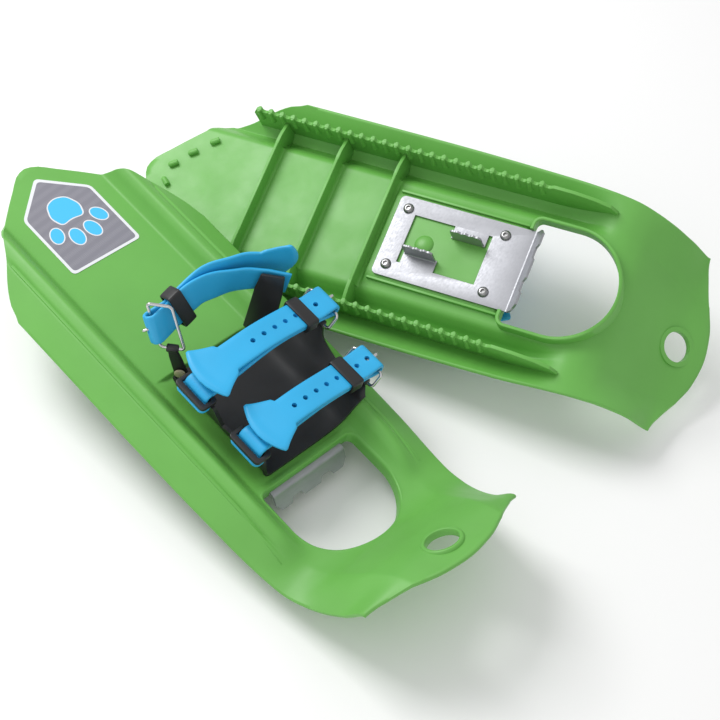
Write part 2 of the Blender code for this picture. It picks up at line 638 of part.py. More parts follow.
def add_heel_strap(shoe):
    lean = Vector(HEEL_RING_LEAN[shoe.name]).normalized()
    foot = Vector(HEEL_RING_FOOT)
    inner_foot = Vector(HEEL_RING_HEEL_SIDE)
    centre = foot + lean * (HEEL_RING_TALL * HEEL_FOLD_SHARE)
    line = [Vector(p) for p, side in HEEL_LINES[shoe.name]]
    sides = [Vector(side).normalized() for p, side in HEEL_LINES[shoe.name]]
    ahead = centre - line[-1]
    ahead = (ahead - lean * ahead.dot(lean)).normalized()
    out = lean.cross(ahead)
    if out.y > 0:
        out = -out
    layer = STRAP_THICK + LAYER_GAP
    fold = 4.2
    loop = []
    for i in range(7):
        angle = -pi / 2 + pi * i / 6
        loop.append(centre + ahead * cos(angle) * fold + out * sin(angle) * fold)
    last = line[-1]
    run = (line[-1] - line[-2]).normalized()
    run_out = sides[-1].cross(run).normalized()
    if run_out.y > 0:
        run_out = -run_out
    path = [*line, *loop, last + run_out * layer, line[-2] + run_out * layer]
    turned = [*sides, *[lean] * len(loop), sides[-1], sides[-2]]
    band = sweep(path, turned, [STRAP_WIDE] * len(path), STRAP_THICK)
    slot = cylinder(centre + ahead * 4.2 + out * 2.0, ahead + out * 0.45, 3.2, 10, 8)
    shoe.node("heel_strap", band, [], [slot], (BLUE, 0.0, 0.4))

    start = path[-1] - run * 2.4 + run_out * 0.9
    turn = start + run_out * STRAP_THICK / 2
    stations = [(start, sides[-2], STRAP_WIDE)] + [(Vector(p), Vector(v), w) for p, v, w in HEEL_ENDS[shoe.name]]
    tail = sweep([s[0] for s in stations], [s[1] for s in stations], [s[2] for s in stations], STRAP_THICK)
    shoe.node("heel_strap_end", tail, [], [], (BLUE, 0.0, 0.4), tuple(turn))

    corners = []
    across = inner_foot - foot
    for a, b in rounded_rectangle(across.length / 2, HEEL_RING_TALL / 2, 2.6, 3):
        middle = foot + across / 2 + lean * HEEL_RING_TALL / 2
        corners.append(tuple(middle + across.normalized() * a + lean * b))
    shoe.node("heel_ring", tube(corners, WIRE_RADIUS, 8, True), [], [], (STEEL, 1.0, 0.25),
              tuple(foot + across / 2))

    sleeve = cylinder(centre, lean, PRONG_EYE, 3.4, 12)
    tip = centre + ahead * 8.0 + out * 3.5
    pin = tube([tuple(centre + (tip - centre).normalized() * 1.8), tuple(tip)], 1.15, 8)
    bore = cylinder(centre, lean, WIRE_RADIUS + 0.35, 8, 12)
    shoe.node("heel_prong", sleeve, [pin], [bore], (STEEL, 1.0, 0.25), tuple(centre))

    middle = (line[-1] + line[-2]) / 2 + run_out * layer / 2
    side = run.cross(run_out).normalized()
    add_keeper(shoe, "heel", middle, run, run_out, side)


# Decal on the tail and the cradle's rivet.
DECAL_OUTLINE = [(0, -24), (31.5, 4.5), (31.5, 62), (28.5, 65.5), (-28.5, 65.5), (-31.5, 62), (-31.5, 4.5)]
RIVET_AT = (28.3, 181.4, 7.6)
RIVET_AXIS = (0.717, 0.69, 0.07)
RIVET_RADIUS = 4.0


def add_trim(shoe):
    shoe.node("paw_decal", prism(DECAL_OUTLINE, 0.3, 0.65), [], [], (GREY, 0.0, 0.4))
    rivet = cylinder(RIVET_AT, RIVET_AXIS, RIVET_RADIUS, 1.6, 16)
    shoe.node("side_rivet", rivet, [], [], (BEIGE, 0.0, 0.5))


def build_shoe(shoe):
    add_deck(shoe)
    add_crampon(shoe)
    add_base(shoe)
    for name, data in FRONT_STRAPS.items():
        add_front_strap(shoe, name, data)
    add_heel_strap(shoe)
    add_trim(shoe)


clear_scene()
build_shoe(Shoe("left", LEFT_ORIGIN, LEFT_TURN, 1))
build_shoe(Shoe("right", RIGHT_ORIGIN, RIGHT_TURN, -1))
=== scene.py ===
"""Looks for the pair of moulded snowshoes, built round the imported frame.

Each shoe is modelled once in its own frame, in millimetres: +y from tail to toe, +x to the wearer's right,
z = 0 on the flat panel's upper face. The right shoe's binding mirrors the left one's."""

from math import atan, cos, exp, pi, radians, sin

import bmesh
import bpy
import numpy as np
from mathutils import Euler, Matrix, Vector


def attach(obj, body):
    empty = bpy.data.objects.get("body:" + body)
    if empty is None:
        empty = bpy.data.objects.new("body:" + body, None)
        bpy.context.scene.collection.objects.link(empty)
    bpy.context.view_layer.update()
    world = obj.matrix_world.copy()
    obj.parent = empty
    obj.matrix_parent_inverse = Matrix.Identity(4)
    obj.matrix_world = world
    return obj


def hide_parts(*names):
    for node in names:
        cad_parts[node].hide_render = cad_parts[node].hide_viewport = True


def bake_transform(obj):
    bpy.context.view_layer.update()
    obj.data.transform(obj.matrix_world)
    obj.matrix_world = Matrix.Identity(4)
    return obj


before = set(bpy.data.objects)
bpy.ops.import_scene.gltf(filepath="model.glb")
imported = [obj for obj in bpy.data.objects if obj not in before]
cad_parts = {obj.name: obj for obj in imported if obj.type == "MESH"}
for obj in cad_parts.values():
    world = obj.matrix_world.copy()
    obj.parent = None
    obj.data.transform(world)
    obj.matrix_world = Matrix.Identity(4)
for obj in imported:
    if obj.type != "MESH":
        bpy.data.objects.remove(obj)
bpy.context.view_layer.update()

MM = 0.001
BEVEL_ANGLE = 32

# Each shoe's place, as in the CAD: origin in millimetres, turn in degrees, and -1 where it mirrors.
PLACES = {
    "left": ((125.7, -198.9, 74.3), (-8.17, -1.17, 0.17), 1),
    "right": ((7.2, -183.4, 34.9), (170.72, -24.47, -156.12), -1),
}

# Deck.
DECK_WALL = 3.0
EDGE_ROUND = 0.8
CREST_X = 58.0
LIP_X = 88.0
RIDGE_HIGH = 13.0
TAIL_JOIN = 88.0
TOE_JOIN = 340.0
TAIL_LINE = [(0, -37), (8, -34.5), (20, -24), (33, -12), (48, 3), (58, 15), (67, 31), (77, 46), (84, 60),
             (88, 74)]
TOE_LINE = [(0, 427), (20, 424.5), (41, 418), (58, 413), (73, 409.5)]
LIP_X_ALONG = [(0, 88), (180, 87.5), (300, 85.0), (350, 81), (383, 76.5), (395, 74.5), (410, 73)]
LIP_Z_ALONG = [(0, -5), (320, -5), (350, -2.5), (370, 5), (383, 14), (395, 27), (410, 49)]
CREST_X_ALONG = [(0, 58), (300, 58), (330, 56.5), (355, 52), (385, 46), (415, 41)]
LIFT_ALONG = [(0, 0), (336, 0), (350, 2.2), (363, 9.5), (377, 27.5), (390, 45), (404, 60), (417, 69),
              (430, 77)]
RIDGE_ALONG = [(0, 1), (295, 1), (320, 0.72), (348, 0)]
SECTION = [(0, 0), (31, 0), (44.5, 0), (49, 4.2), (53, 9.8), (58, 13)]
GROOVE_X = 66.5
GROOVE_DEEP = 1.7
GROOVE_WIDE = 1.2
GROOVE_FROM = 30.0
GROOVE_TO = 325.0
RECESS_DEEP = 3.0
RECESS_FROM = 174.5
RECESS_TO = 283.0
RECESS_HALF = 31.0
RECESS_SLOPE = 13.5
TOE_HOLE_REAR = 288.0
TOE_HOLE_HALF = 43.5
TOE_HOLE_STRAIGHT = 322.0
TOE_HOLE_FRONT = 364.0
TOE_HOLE_DEEP = 11.0
TOE_HOLE_WALL = 3.0
HANG_Y = 404.7
HANG_Z = 60.6
HANG_TILT = 41.0
HANG_RADIUS = 11.8
HANG_WALL = 3.6
RIB_ROWS = (67.0, 120.0, 170.0)
RIB_BOTTOM = -15.0
RIB_HALF = 1.3
FIN_X = 66.5
FIN_HALF = 1.3
FIN_BOTTOM = -22.0
FIN_START = 38.0
FIN_TOOTH = 10.0
FIN_TOOTH_DEEP = 3.2
FIN_FIRST = 44.0
FIN_TEETH = 25
CLEATS = [(8, -21), (22, -9), (36, 5), (-8, -21), (-22, -9), (-36, 5)]

# Crampon plate and screws.
PLATE_HALF = 33.8
PLATE_REAR = 180.0
PLATE_FRONT = 294.0
PLATE_TOP = -6.4
PLATE_THICK = 1.6
PLATE_TOOTH_TIP = -19.0
PLATE_LEAN = 0.6
PLATE_BEND = 2.4
PLATE_TOOTH_TALL = 15.0
SCREW_X = 24.0
SCREW_ROWS = {"rear": 189.0, "front": 269.0}
SCREW_RADIUS = 4.2
SCREW_TALL = 2.2

# Binding.
STRAP_WIDE = 22.5
STRAP_THICK = 2.8
LAYER_GAP = 0.5
WIRE_RADIUS = 1.2
PRONG_EYE = 2.2
RING_HALF = 15.0
KEEPER_LONG = 11.0
KEEPER_WALL = 1.5
KEEPER_GAP = 0.5
HEEL_KEEPER_GAP = 1.7
KEEPER_CROWN = [(-0.5, -0.45), (-0.46, -0.12), (-0.25, 0.0), (0.25, 0.0), (0.46, -0.12), (0.5, -0.45)]
HOLE_RADIUS = 1.9
HOLE_PITCH = 10.3
FRONT_STRAPS = {
    "toe": dict(y=262.0, anchor=(35.0, 27.5), near=(-22.0, 38.6), far=(-66.0, 33.4), bar=(-77.0, 30.6),
                hinge_bar=(-69.0, 21.5), tab=(31.0, 34.5), lift=(4.0, 38.4), first_hole=10.5, holes=8),
    "instep": dict(y=211.0, anchor=(42.0, 37.5), near=(-20.0, 54.0), far=(-66.0, 47.6), bar=(-77.0, 44.6),
                   hinge_bar=(-70.0, 34.0), tab=(42.0, 48.5), lift=(10.0, 53.0), first_hole=17.5, holes=7),
}
HEEL_LINES = {
    "left": [((-65, 184.8, 47.5), (0, 0, 1)), ((-60, 180, 48), (0, 0, 1)), ((-51, 171.5, 49), (0, 0, 1)),
             ((-36, 162.5, 50), (0, -0.1, 1)), ((-12, 155.0, 50.5), (0, -0.35, 0.9)),
             ((4, 154.4, 48.8), (0, -0.45, 0.88)), ((20, 156.6, 44.6), (0, -0.5, 0.86))],
    "right": [((-65, 184.8, 46.5), (0, 0, 1)), ((-60, 180, 47), (0, 0, 1)), ((-51, 171.5, 47), (0, -0.2, 1)),
              ((-36, 162.5, 46.5), (0, -0.5, 0.85)), ((-12, 156.5, 43.0), (0, -0.76, 0.65)),
              ((4, 156.5, 39.5), (0, -0.84, 0.54)), ((20, 156.5, 34.0), (0, -0.92, 0.39))],
}
HEEL_RING_LEAN = {"left": (0.0, -0.55, 0.835), "right": (0.0, -0.92, 0.39)}
HEEL_RING_FOOT = (35.5, 165.5, 29.5)
HEEL_RING_HEEL_SIDE = (23.5, 177.5, 29.5)
HEEL_RING_TALL = 35.2
HEEL_FOLD_SHARE = 0.452
HEEL_ENDS = {
    "left": [((-14, 149.4, 52.5), (0, -0.33, 0.94)), ((-40, 155.0, 56.5), (0, 0.0, 1)),
             ((-58, 164.0, 57.5), (0, 0.15, 1)), ((-79, 177.0, 58.5), (0, 0.15, 1))],
    "right": [((-14, 150.4, 37.4), (0, -0.76, 0.65)), ((-40, 154.5, 44.0), (0, -0.5, 0.86)),
              ((-58, 162.5, 46.8), (0, -0.2, 1)), ((-79, 176.0, 48.5), (0, 0, 1))],
}
FOLD_RADIUS = 4.2

# Cradle: heights and reaches of its near wall and far wing along the shoe.
CRADLE_FROM = 177.0
CRADLE_TO = 279.0
CRADLE_WALL = 2.7
EAR_WALL = 2.8
BAR_RADIUS = 3.1
CRADLE_FLOOR = [(27.2, 0.4), (24, 0.2), (12, 0.2), (-4, 0.2), (-18, 0.3), (-28, 0.9), (-36, 2.0), (-42, 3.9),
                (-46.4, 8.0), (-50.4, 13.0), (-54.4, 16.6)]
NEAR_X_ALONG = [(177, 29.6), (186, 31), (195, 37.5), (227, 37.5), (236, 33), (248, 31.5), (276, 31.5),
                (279, 30)]
NEAR_Z_ALONG = [(177, 1), (186, 4), (195, 31), (227, 31), (236, 14), (243, 14), (249, 21), (275, 21),
                (279, 3)]
FAR_X_ALONG = [(177, -59), (196, -60), (203, -70), (219, -70), (226, -66), (246, -64), (253, -67),
               (272, -67), (279, -62)]
FAR_Z_ALONG = [(177, 17.6), (196, 19), (203, 32), (219, 32), (226, 27), (246, 22), (253, 20.5),
               (272, 20.5), (279, 18)]

# Decal and rivet.
DECAL_TOP = 0.55
RIVET_AT = (28.3, 181.4, 7.6)
RIVET_AXIS = (0.717, 0.69, 0.07)
RIVET_RADIUS = 4.0


# ---------------------------------------------------------------- numbers and meshes


def along(points, value):
    """A smooth curve through (position, value) points, flat beyond its ends."""
    xs = [p[0] for p in points]
    ys = [p[1] for p in points]
    rises = [(ys[i + 1] - ys[i]) / (xs[i + 1] - xs[i]) for i in range(len(xs) - 1)]
    slopes = [0.0] * len(xs)
    for i in range(1, len(xs) - 1):
        if rises[i - 1] * rises[i] > 0:
            slopes[i] = 2 * rises[i - 1] * rises[i] / (rises[i - 1] + rises[i])
    value = min(max(value, xs[0]), xs[-1])
    i = 0
    while i < len(xs) - 2 and value >= xs[i + 1]:
        i += 1
    wide = xs[i + 1] - xs[i]
    t = (value - xs[i]) / wide
    return (ys[i] * (2 * t**3 - 3 * t**2 + 1) + slopes[i] * wide * (t**3 - 2 * t**2 + t)
            + ys[i + 1] * (3 * t**2 - 2 * t**3) + slopes[i + 1] * wide * (t**3 - t**2))


def ramp(value, low, high):
    return min(max((value - low) / (high - low), 0.0), 1.0)


def smooth(value, low, high):
    t = ramp(value, low, high)
    return t * t * (3 - 2 * t)


def steps(start, end, count):
    """Evenly spaced values from start, without end itself."""
    return [start + (end - start) * i / count for i in range(count)]


def sampled(stations):
    """Values through (value, steps to the next one) stations, with the last value itself."""
    values = []
    for (start, count), (end, unused) in zip(stations, stations[1:]):
        values += steps(start, end, count)
    return values + [stations[-1][0]]


def smooth_path(points, spacing):
    """A Catmull-Rom curve through points, sampled about every so many millimetres."""
    points = [Vector(p) for p in points]
    ends = [points[0] * 2 - points[1], *points, points[-1] * 2 - points[-2]]
    made = []
    for a, b, c, d in zip(ends, ends[1:], ends[2:], ends[3:]):
        count = max(1, round((c - b).length / spacing))
        for k in range(count):
            t = k / count
            made.append(0.5 * (2 * b + (c - a) * t + (2 * a - 5 * b + 4 * c - d) * t * t
                               + (3 * b - a - 3 * c + d) * t**3))
    made.append(points[-1])
    return made


def skin(rings, closed=False):
    """A body between rings of equally many points. closed joins the last ring to the first."""
    n = len(rings[0])
    points = [tuple(p) for ring in rings for p in ring]
    faces = []
    for i in range(len(rings) if closed else len(rings) - 1):
        one, two = n * i, n * ((i + 1) % len(rings))
        faces += [[one + k, one + (k + 1) % n, two + (k + 1) % n, two + k] for k in range(n)]
    if not closed:
        faces += [list(range(n))[::-1], list(range(len(points) - n, len(points)))]
    return points, faces


def prism(outline, low, high, axis="z"):
    """An outline of (a, b) points drawn out along one axis from low to high."""
    places = {"x": (2, 0, 1), "y": (0, 2, 1), "z": (0, 1, 2)}[axis]
    return skin([[[(a, b, end)[k] for k in places] for a, b in outline] for end in (low, high)])


def circle(radius, count):
    return [(radius * cos(2 * pi * i / count), radius * sin(2 * pi * i / count)) for i in range(count)]


def turned(center, axis, profile, count=32):
    """A body turned round an axis: profile is (radius, height) points from the axis out and back."""
    turn = Vector(axis).normalized().to_track_quat("Z", "Y").to_matrix()
    points, faces = [], []
    for x, y in circle(1.0, count):
        points += [tuple(Vector(center) + turn @ Vector((x * r, y * r, h))) for r, h in profile]
    n = len(profile)
    for i in range(count):
        for k in range(n - 1):
            one, two = i * n + k, ((i + 1) % count) * n + k
            faces.append([one, two, two + 1, one + 1])
    return points, faces


def rounded_rod(center, axis, radius, length, count=24, edge=0.5):
    """A cylinder whose two ends have rounded edges."""
    half = length / 2
    end = [(radius, half - edge), (radius - edge * 0.3, half - edge * 0.3), (radius - edge, half),
           (0.001, half)]
    return turned(center, axis, [(r, -h) for r, h in reversed(end)] + end, count)


def tube(path, radius, count=16, closed=False, round_end=False):
    """A round bar along a path."""
    path = [Vector(p) for p in path]
    radii = [radius] * len(path)
    if round_end:
        way = (path[-1] - path[-2]).normalized()
        tip = path[-1]
        path = path[:-1] + [tip - way * radius * (1 - sin(a)) for a in (0, 0.5, 1.0, 1.35)]
        radii = radii[:-1] + [radius * cos(a) for a in (0, 0.5, 1.0, 1.35)]
    total = len(path)
    side = (path[1] - path[0]).orthogonal().normalized()
    if closed:
        side = sum((a.cross(b) for a, b in zip(path, path[1:] + path[:1])), Vector()).normalized()
    rings = []
    for i, here in enumerate(path):
        ahead = path[(i + 1) % total] if closed or i < total - 1 else here
        behind = path[i - 1] if closed or i > 0 else here
        tangent = (ahead - behind).normalized()
        side = (side - tangent * side.dot(tangent)).normalized()
        up = tangent.cross(side)
        rings.append([here + side * x + up * y for x, y in circle(radii[i], count)])
    return skin(rings, closed)


def rounded_rectangle(half_a, half_b, radius, count=6):
    points = []
    for corner, (sa, sb) in enumerate([(1, 1), (-1, 1), (-1, -1), (1, -1)]):
        for i in range(count + 1):
            angle = pi / 2 * (corner + i / count)
            a, b = sa * (half_a - radius), sb * (half_b - radius)
            points.append((a + radius * cos(angle), b + radius * sin(angle)))
    return points


def swept_ring(outline, profile, lift):
    """A closed ring along an outline of (x, y) points.

    profile is (distance outwards, height, share) points, where share says how far the height
    follows the face whose height lift gives."""
    rings = []
    for i, (x, y) in enumerate(outline):
        before, after = outline[i - 1], outline[(i + 1) % len(outline)]
        way = Vector((after[0] - before[0], after[1] - before[1])).normalized()
        ring = []
        for distance, height, share in profile:
            a, b = x + way.y * distance, y - way.x * distance
            ring.append((a, b, height + share * lift(a, b)))
        rings.append(ring)
    return skin(rings, closed=True)


def ribbon(path, sides, widths, thicks, spread=None):
    """A flat strap with rounded edges along a path.

    sides are its directions across, and spread moves a point along it by how far across it is."""
    path = [Vector(p) for p in path]
    total = len(path)
    across = [-1.0, -0.96, -0.86, -0.6, -0.3, 0.0, 0.3, 0.6, 0.86, 0.96, 1.0]
    rounding = [0.35, 0.78, 0.97, 1, 1, 1, 1, 1, 0.97, 0.78, 0.35]
    n = len(across)
    points, faces = [], []
    for i, here in enumerate(path):
        ahead, behind = path[min(i + 1, total - 1)], path[max(i - 1, 0)]
        tangent = (ahead - behind).normalized()
        side = Vector(sides[i]).normalized()
        side = (side - tangent * side.dot(tangent)).normalized()
        up = tangent.cross(side)
        end = 0.45 if i in (0, total - 1) else 0.85 if i in (1, total - 2) else 1.0
        for sign in (1, -1):
            order = range(n) if sign > 0 else range(n - 1, -1, -1)
            for k in order:
                push = spread(i, across[k]) if spread else 0.0
                points.append(tuple(here + side * across[k] * widths[i] / 2 + tangent * push
                                    + up * sign * thicks[i] / 2 * rounding[k] * end))
    loop = 2 * n
    for i in range(total - 1):
        one, two = loop * i, loop * (i + 1)
        faces += [[one + k, two + k, two + (k + 1) % loop, one + (k + 1) % loop] for k in range(loop)]
    for start, flip in ((0, False), (loop * (total - 1), True)):
        for k in range(n - 1):
            quad = [start + k, start + k + 1, start + loop - 2 - k, start + loop - 1 - k]
            faces.append(quad[::-1] if flip else quad)
    return points, faces


def facing_out(points, faces):
    """The faces of one closed part, turned to face outwards."""
    shape = bmesh.new()
    corners = [shape.verts.new(p) for p in points]
    for face in faces:
        shape.faces.new([corners[k] for k in face])
    shape.verts.index_update()
    bmesh.ops.recalc_face_normals(shape, faces=shape.faces)
    if shape.calc_volume(signed=True) < 0:
        bmesh.ops.reverse_faces(shape, faces=shape.faces)
    fixed = [[corner.index for corner in face.verts] for face in shape.faces]
    shape.free()
    return fixed


def unit(field):
    return field / np.linalg.norm(field, axis=2)[:, :, None]


def grid_directions(surface):
    """Unit directions along both ways of a grid of points, and its unit normals."""
    across = unit(np.gradient(surface, axis=0))
    length = unit(np.gradient(surface, axis=1))
    return across, length, unit(np.cross(across, length))


def closed_sheet(top, bottom, rounds=(), inwards=None):
    """A closed body between two grids of points.

    rounds gives rows of points round the rim: each one's share of the way down and how far it
    stands out against the inwards directions."""
    count_x, count_y = top.shape[:2]
    low = count_x * count_y
    points = [tuple(p) for p in np.concatenate([top.reshape(-1, 3), bottom.reshape(-1, 3)])]
    faces = []
    for i in range(count_x - 1):
        for j in range(count_y - 1):
            one, two = i * count_y + j, (i + 1) * count_y + j
            quad = [one, two, two + 1, one + 1]
            faces += [quad, [low + k for k in reversed(quad)]]
    rim = [(i, 0) for i in range(count_x)] + [(count_x - 1, j) for j in range(1, count_y)]
    rim += [(i, count_y - 1) for i in range(count_x - 2, -1, -1)]
    rim += [(0, j) for j in range(count_y - 2, 0, -1)]
    rings = [[i * count_y + j for i, j in rim]]
    for share, out in rounds:
        start = len(points)
        for place in rim:
            flat = top[place] * (1 - share) + bottom[place] * share
            points.append(tuple(flat - inwards[place] * out))
        rings.append(list(range(start, start + len(rim))))
    rings.append([low + k for k in rings[0]])
    for upper, lower in zip(rings, rings[1:]):
        for k in range(len(rim)):
            after = (k + 1) % len(rim)
            faces.append([upper[after], upper[k], lower[k], lower[after]])
    return points, faces


class Shoe:
    """One shoe: it makes pieces in its own frame and places them where the CAD has them."""

    def __init__(self, name):
        origin, turn, self.side = PLACES[name]
        self.name = name
        turn = [radians(angle) for angle in turn]
        self.frame = Matrix.Translation(Vector(origin) * MM) @ Euler(turn, "XYZ").to_matrix().to_4x4()
        self.body = f"{name}_shoe"

    def place(self, point):
        return self.frame @ (Vector((self.side * point[0], point[1], point[2])) * MM)

    def mesh(self, label, parts, look_at):
        """One object from (points, faces) parts. look_at gives each part's material number."""
        points, faces, looks = [], [], []
        for number, (part_points, part_faces) in enumerate(parts):
            start = len(points)
            placed = [tuple(self.place(p)) for p in part_points]
            points += placed
            faces += [[start + k for k in face] for face in facing_out(placed, part_faces)]
            looks += [look_at[number] if look_at else 0] * len(part_faces)
        data = bpy.data.meshes.new(label)
        data.from_pydata(points, [], faces)
        data.polygons.foreach_set("material_index", looks)
        shape = bmesh.new()
        shape.from_mesh(data)
        bmesh.ops.remove_doubles(shape, verts=shape.verts, dist=0.000002)
        shape.to_mesh(data)
        shape.free()
        made = bpy.data.objects.new(label, data)
        bpy.context.scene.collection.objects.link(made)
        return made

    def piece(self, label, parts, looks, node, moves=False, cut=None, bevel=0.0, levels=0, sharp=38,
              look_at=None, ends=None, slot=None):
        """A finished piece: cut, bevelled, smoothed, given its looks and put on its body.

        node is the CAD part that it replaces. A piece that moves rides on that part's body, and one
        with two ends is put on no body: its place is baked into its points."""
        made = self.mesh(f"{self.name}_{label}", parts, look_at)
        if cut:
            cutter = self.mesh("cutter", cut, None)
            boolean = made.modifiers.new("cut", "BOOLEAN")
            boolean.operation = "DIFFERENCE"
            boolean.solver = "MANIFOLD"
            boolean.object = cutter
        if bevel:
            edge = made.modifiers.new("edge", "BEVEL")
            edge.width = bevel * MM
            edge.segments = 3
            edge.limit_method = "ANGLE"
            edge.angle_limit = radians(BEVEL_ANGLE)
        if levels:
            finer = made.modifiers.new("finer", "SUBSURF")
            finer.levels = finer.render_levels = levels
        bake(made)
        if cut:
            bpy.data.objects.remove(cutter, do_unlink=True)
            made.data.materials.clear()
        for look in looks:
            made.data.materials.append(look)
        made.data.polygons.foreach_set("use_smooth", [True] * len(made.data.polygons))
        made.data.set_sharp_from_angle(angle=radians(sharp))
        body = f"{self.name}_{node}" if moves else self.body
        if ends:
            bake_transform(made)
        else:
            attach(made, body)
        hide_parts(f"{self.name}_{node}")


def bake(made):
    """Applies an object's modifiers."""
    if not made.modifiers:
        return
    bpy.context.view_layer.update()
    shape = bpy.data.meshes.new_from_object(made.evaluated_get(bpy.context.evaluated_depsgraph_get()))
    made.modifiers.clear()
    made.data = shape


# ---------------------------------------------------------------- materials


def linear(red, green, blue):
    """An 8-bit display colour as linear values."""
    values = [c / 255 for c in (red, green, blue)]
    return [c / 12.92 if c <= 0.04045 else ((c + 0.055) / 1.055) ** 2.4 for c in values]


def material(name, color, metallic=0.0, roughness=0.45, **more):
    made = bpy.data.materials.new(name)
    made.use_nodes = True
    shader = made.node_tree.nodes["Principled BSDF"]
    shader.inputs["Base Color"].default_value = (*color, 1.0)
    shader.inputs["Metallic"].default_value = metallic
    shader.inputs["Roughness"].default_value = roughness
    for key, value in more.items():
        shader.inputs[key.replace("_", " ")].default_value = value
    return made


def add_node(made, kind, **inputs):
    """A new shader node. Each input is set, or linked where it is given another node's output."""
    node = made.node_tree.nodes.new(kind)
    for key, value in inputs.items():
        socket = node.inputs[key.replace("_", " ")]
        if isinstance(value, bpy.types.NodeSocket):
            made.node_tree.links.new(value, socket)
        else:
            socket.default_value = value
    return node


def shade_with(made, key, output):
    """Links an output to an input of the material's Principled node."""
    made.node_tree.links.new(output, made.node_tree.nodes["Principled BSDF"].inputs[key])


def object_coordinates(made, stretch=(1, 1, 1)):
    source = add_node(made, "ShaderNodeTexCoord")
    mapping = add_node(made, "ShaderNodeMapping", Vector=source.outputs["Object"], Scale=stretch)
    return mapping.outputs["Vector"]


def noise(made, scale, detail, rough=0.55, stretch=(1, 1, 1)):
    texture = add_node(made, "ShaderNodeTexNoise", Vector=object_coordinates(made, stretch), Scale=scale,
                       Detail=detail, Roughness=rough)
    return texture.outputs["Fac"]


def vary_color(made, fac, dark, light, low=0.3, high=0.7):
    """The base colour runs from dark to light as a texture rises from low to high."""
    blend = add_node(made, "ShaderNodeValToRGB", Fac=fac)
    for stop, position, color in zip(blend.color_ramp.elements, (low, high), (dark, light)):
        stop.position = position
        stop.color = (*color, 1)
    shade_with(made, "Base Color", blend.outputs["Color"])


def vary_roughness(made, fac, low, high):
    span = add_node(made, "ShaderNodeMapRange", Value=fac, From_Min=0.3, From_Max=0.7,
                    To_Min=low, To_Max=high)
    shade_with(made, "Roughness", span.outputs["Result"])


def bump(made, fac, strength, distance):
    relief = add_node(made, "ShaderNodeBump", Height=fac, Strength=strength, Distance=distance)
    shade_with(made, "Normal", relief.outputs["Normal"])


def shade(color, factor):
    return [c * factor for c in color]


def moulded(name, color, low, high, grain, depth):
    """Moulded plastic: faint cloudiness, uneven satin and a fine grain."""
    made = material(name, color, 0.0, (low + high) / 2)
    vary_color(made, noise(made, 14.0, 4.0), shade(color, 0.94), shade(color, 1.05))
    vary_roughness(made, noise(made, 40.0, 5.0), low, high)
    bump(made, noise(made, grain, 2.0), 0.25, depth)
    return made


def metal(name, color, low, high, stretch, depth):
    """Rolled or drawn steel: streaks along one direction."""
    made = material(name, color, 1.0, (low + high) / 2)
    vary_color(made, noise(made, 60.0, 4.0), shade(color, 0.92), shade(color, 1.04))
    vary_roughness(made, noise(made, 90.0, 4.0, 0.6, stretch), low, high)
    bump(made, noise(made, 500.0, 3.0, 0.6, stretch), 0.2, depth)
    return made


def printed_field(name, color, dot_color, pitch):
    """A printed grey field with a fine dot screen."""
    made = material(name, color, 0.0, 0.35, Coat_Weight=0.3)
    cells = add_node(made, "ShaderNodeTexVoronoi", Vector=object_coordinates(made), Scale=1.0 / pitch,
                     Randomness=0.0)
    vary_color(made, cells.outputs["Distance"], dot_color, color, 0.30, 0.38)
    return made


GREEN = moulded("deck_green", linear(103, 172, 76), 0.38, 0.52, 1400.0, 0.00006)
BLUE = moulded("strap_blue", linear(45, 172, 226), 0.36, 0.48, 1800.0, 0.00004)
BLACK = moulded("cradle_black", linear(38, 38, 40), 0.30, 0.46, 1600.0, 0.00008)
KEEPER_BLACK = moulded("keeper_black", linear(32, 32, 33), 0.38, 0.5, 1600.0, 0.00005)
BEIGE = moulded("rivet_beige", linear(176, 168, 136), 0.4, 0.5, 1500.0, 0.00004)
PLATE = metal("plate_steel", linear(172, 173, 178), 0.46, 0.6, (1, 10, 10), 0.00002)
SCREW = metal("screw_steel", linear(150, 150, 150), 0.25, 0.4, (4, 4, 4), 0.00002)
WIRE = metal("wire_steel", linear(205, 205, 206), 0.16, 0.28, (6, 6, 6), 0.00001)
WHITE_PRINT = material("print_border", linear(226, 228, 232), 0.0, 0.35, Coat_Weight=0.3)
GREY_PRINT = printed_field("print_field", linear(128, 127, 137), linear(146, 145, 154), 0.0011)
BLUE_PRINT = material("print_pads", linear(66, 188, 238), 0.0, 0.35, Coat_Weight=0.3)


# ---------------------------------------------------------------- deck


def recess_depth(x, y):
    """How deep the binding's recess is at a point of the deck."""
    sides = smooth(RECESS_HALF + RECESS_SLOPE - abs(x), 0, RECESS_SLOPE)
    ends = smooth(y, RECESS_FROM - 1, RECESS_FROM + 1) * smooth(RECESS_TO + 3 - y, 0, 6)
    return RECESS_DEEP * sides * ends


def groove_depth(section_x, y):
    """How deep the groove along the outer slope is."""
    shape = exp(-(((section_x - GROOVE_X) / GROOVE_WIDE) ** 2))
    return GROOVE_DEEP * shape * smooth(y, GROOVE_FROM, GROOVE_FROM + 12) * smooth(GROOVE_TO + 14 - y, 0, 28)


def plain_point(section_x, y):
    """A point of the deck, without recess and groove, on the lengthwise line that starts at section_x."""
    crest = along(CREST_X_ALONG, y)
    lift = along(LIFT_ALONG, y)
    rise = along(RIDGE_ALONG, y)
    if section_x <= CREST_X:
        return section_x * crest / CREST_X, lift + rise * along(SECTION, section_x)
    out = (section_x - CREST_X) / (LIP_X - CREST_X)
    x = crest + out * (along(LIP_X_ALONG, y) - crest)
    top = lift + rise * RIDGE_HIGH
    fall = out * out / (out + 0.12) * 1.12
    return x, top + (along(LIP_Z_ALONG, y) - top) * fall


def deck_height(x, y):
    return plain_point(abs(x) * CREST_X / along(CREST_X_ALONG, y), y)[1] - recess_depth(x, y)


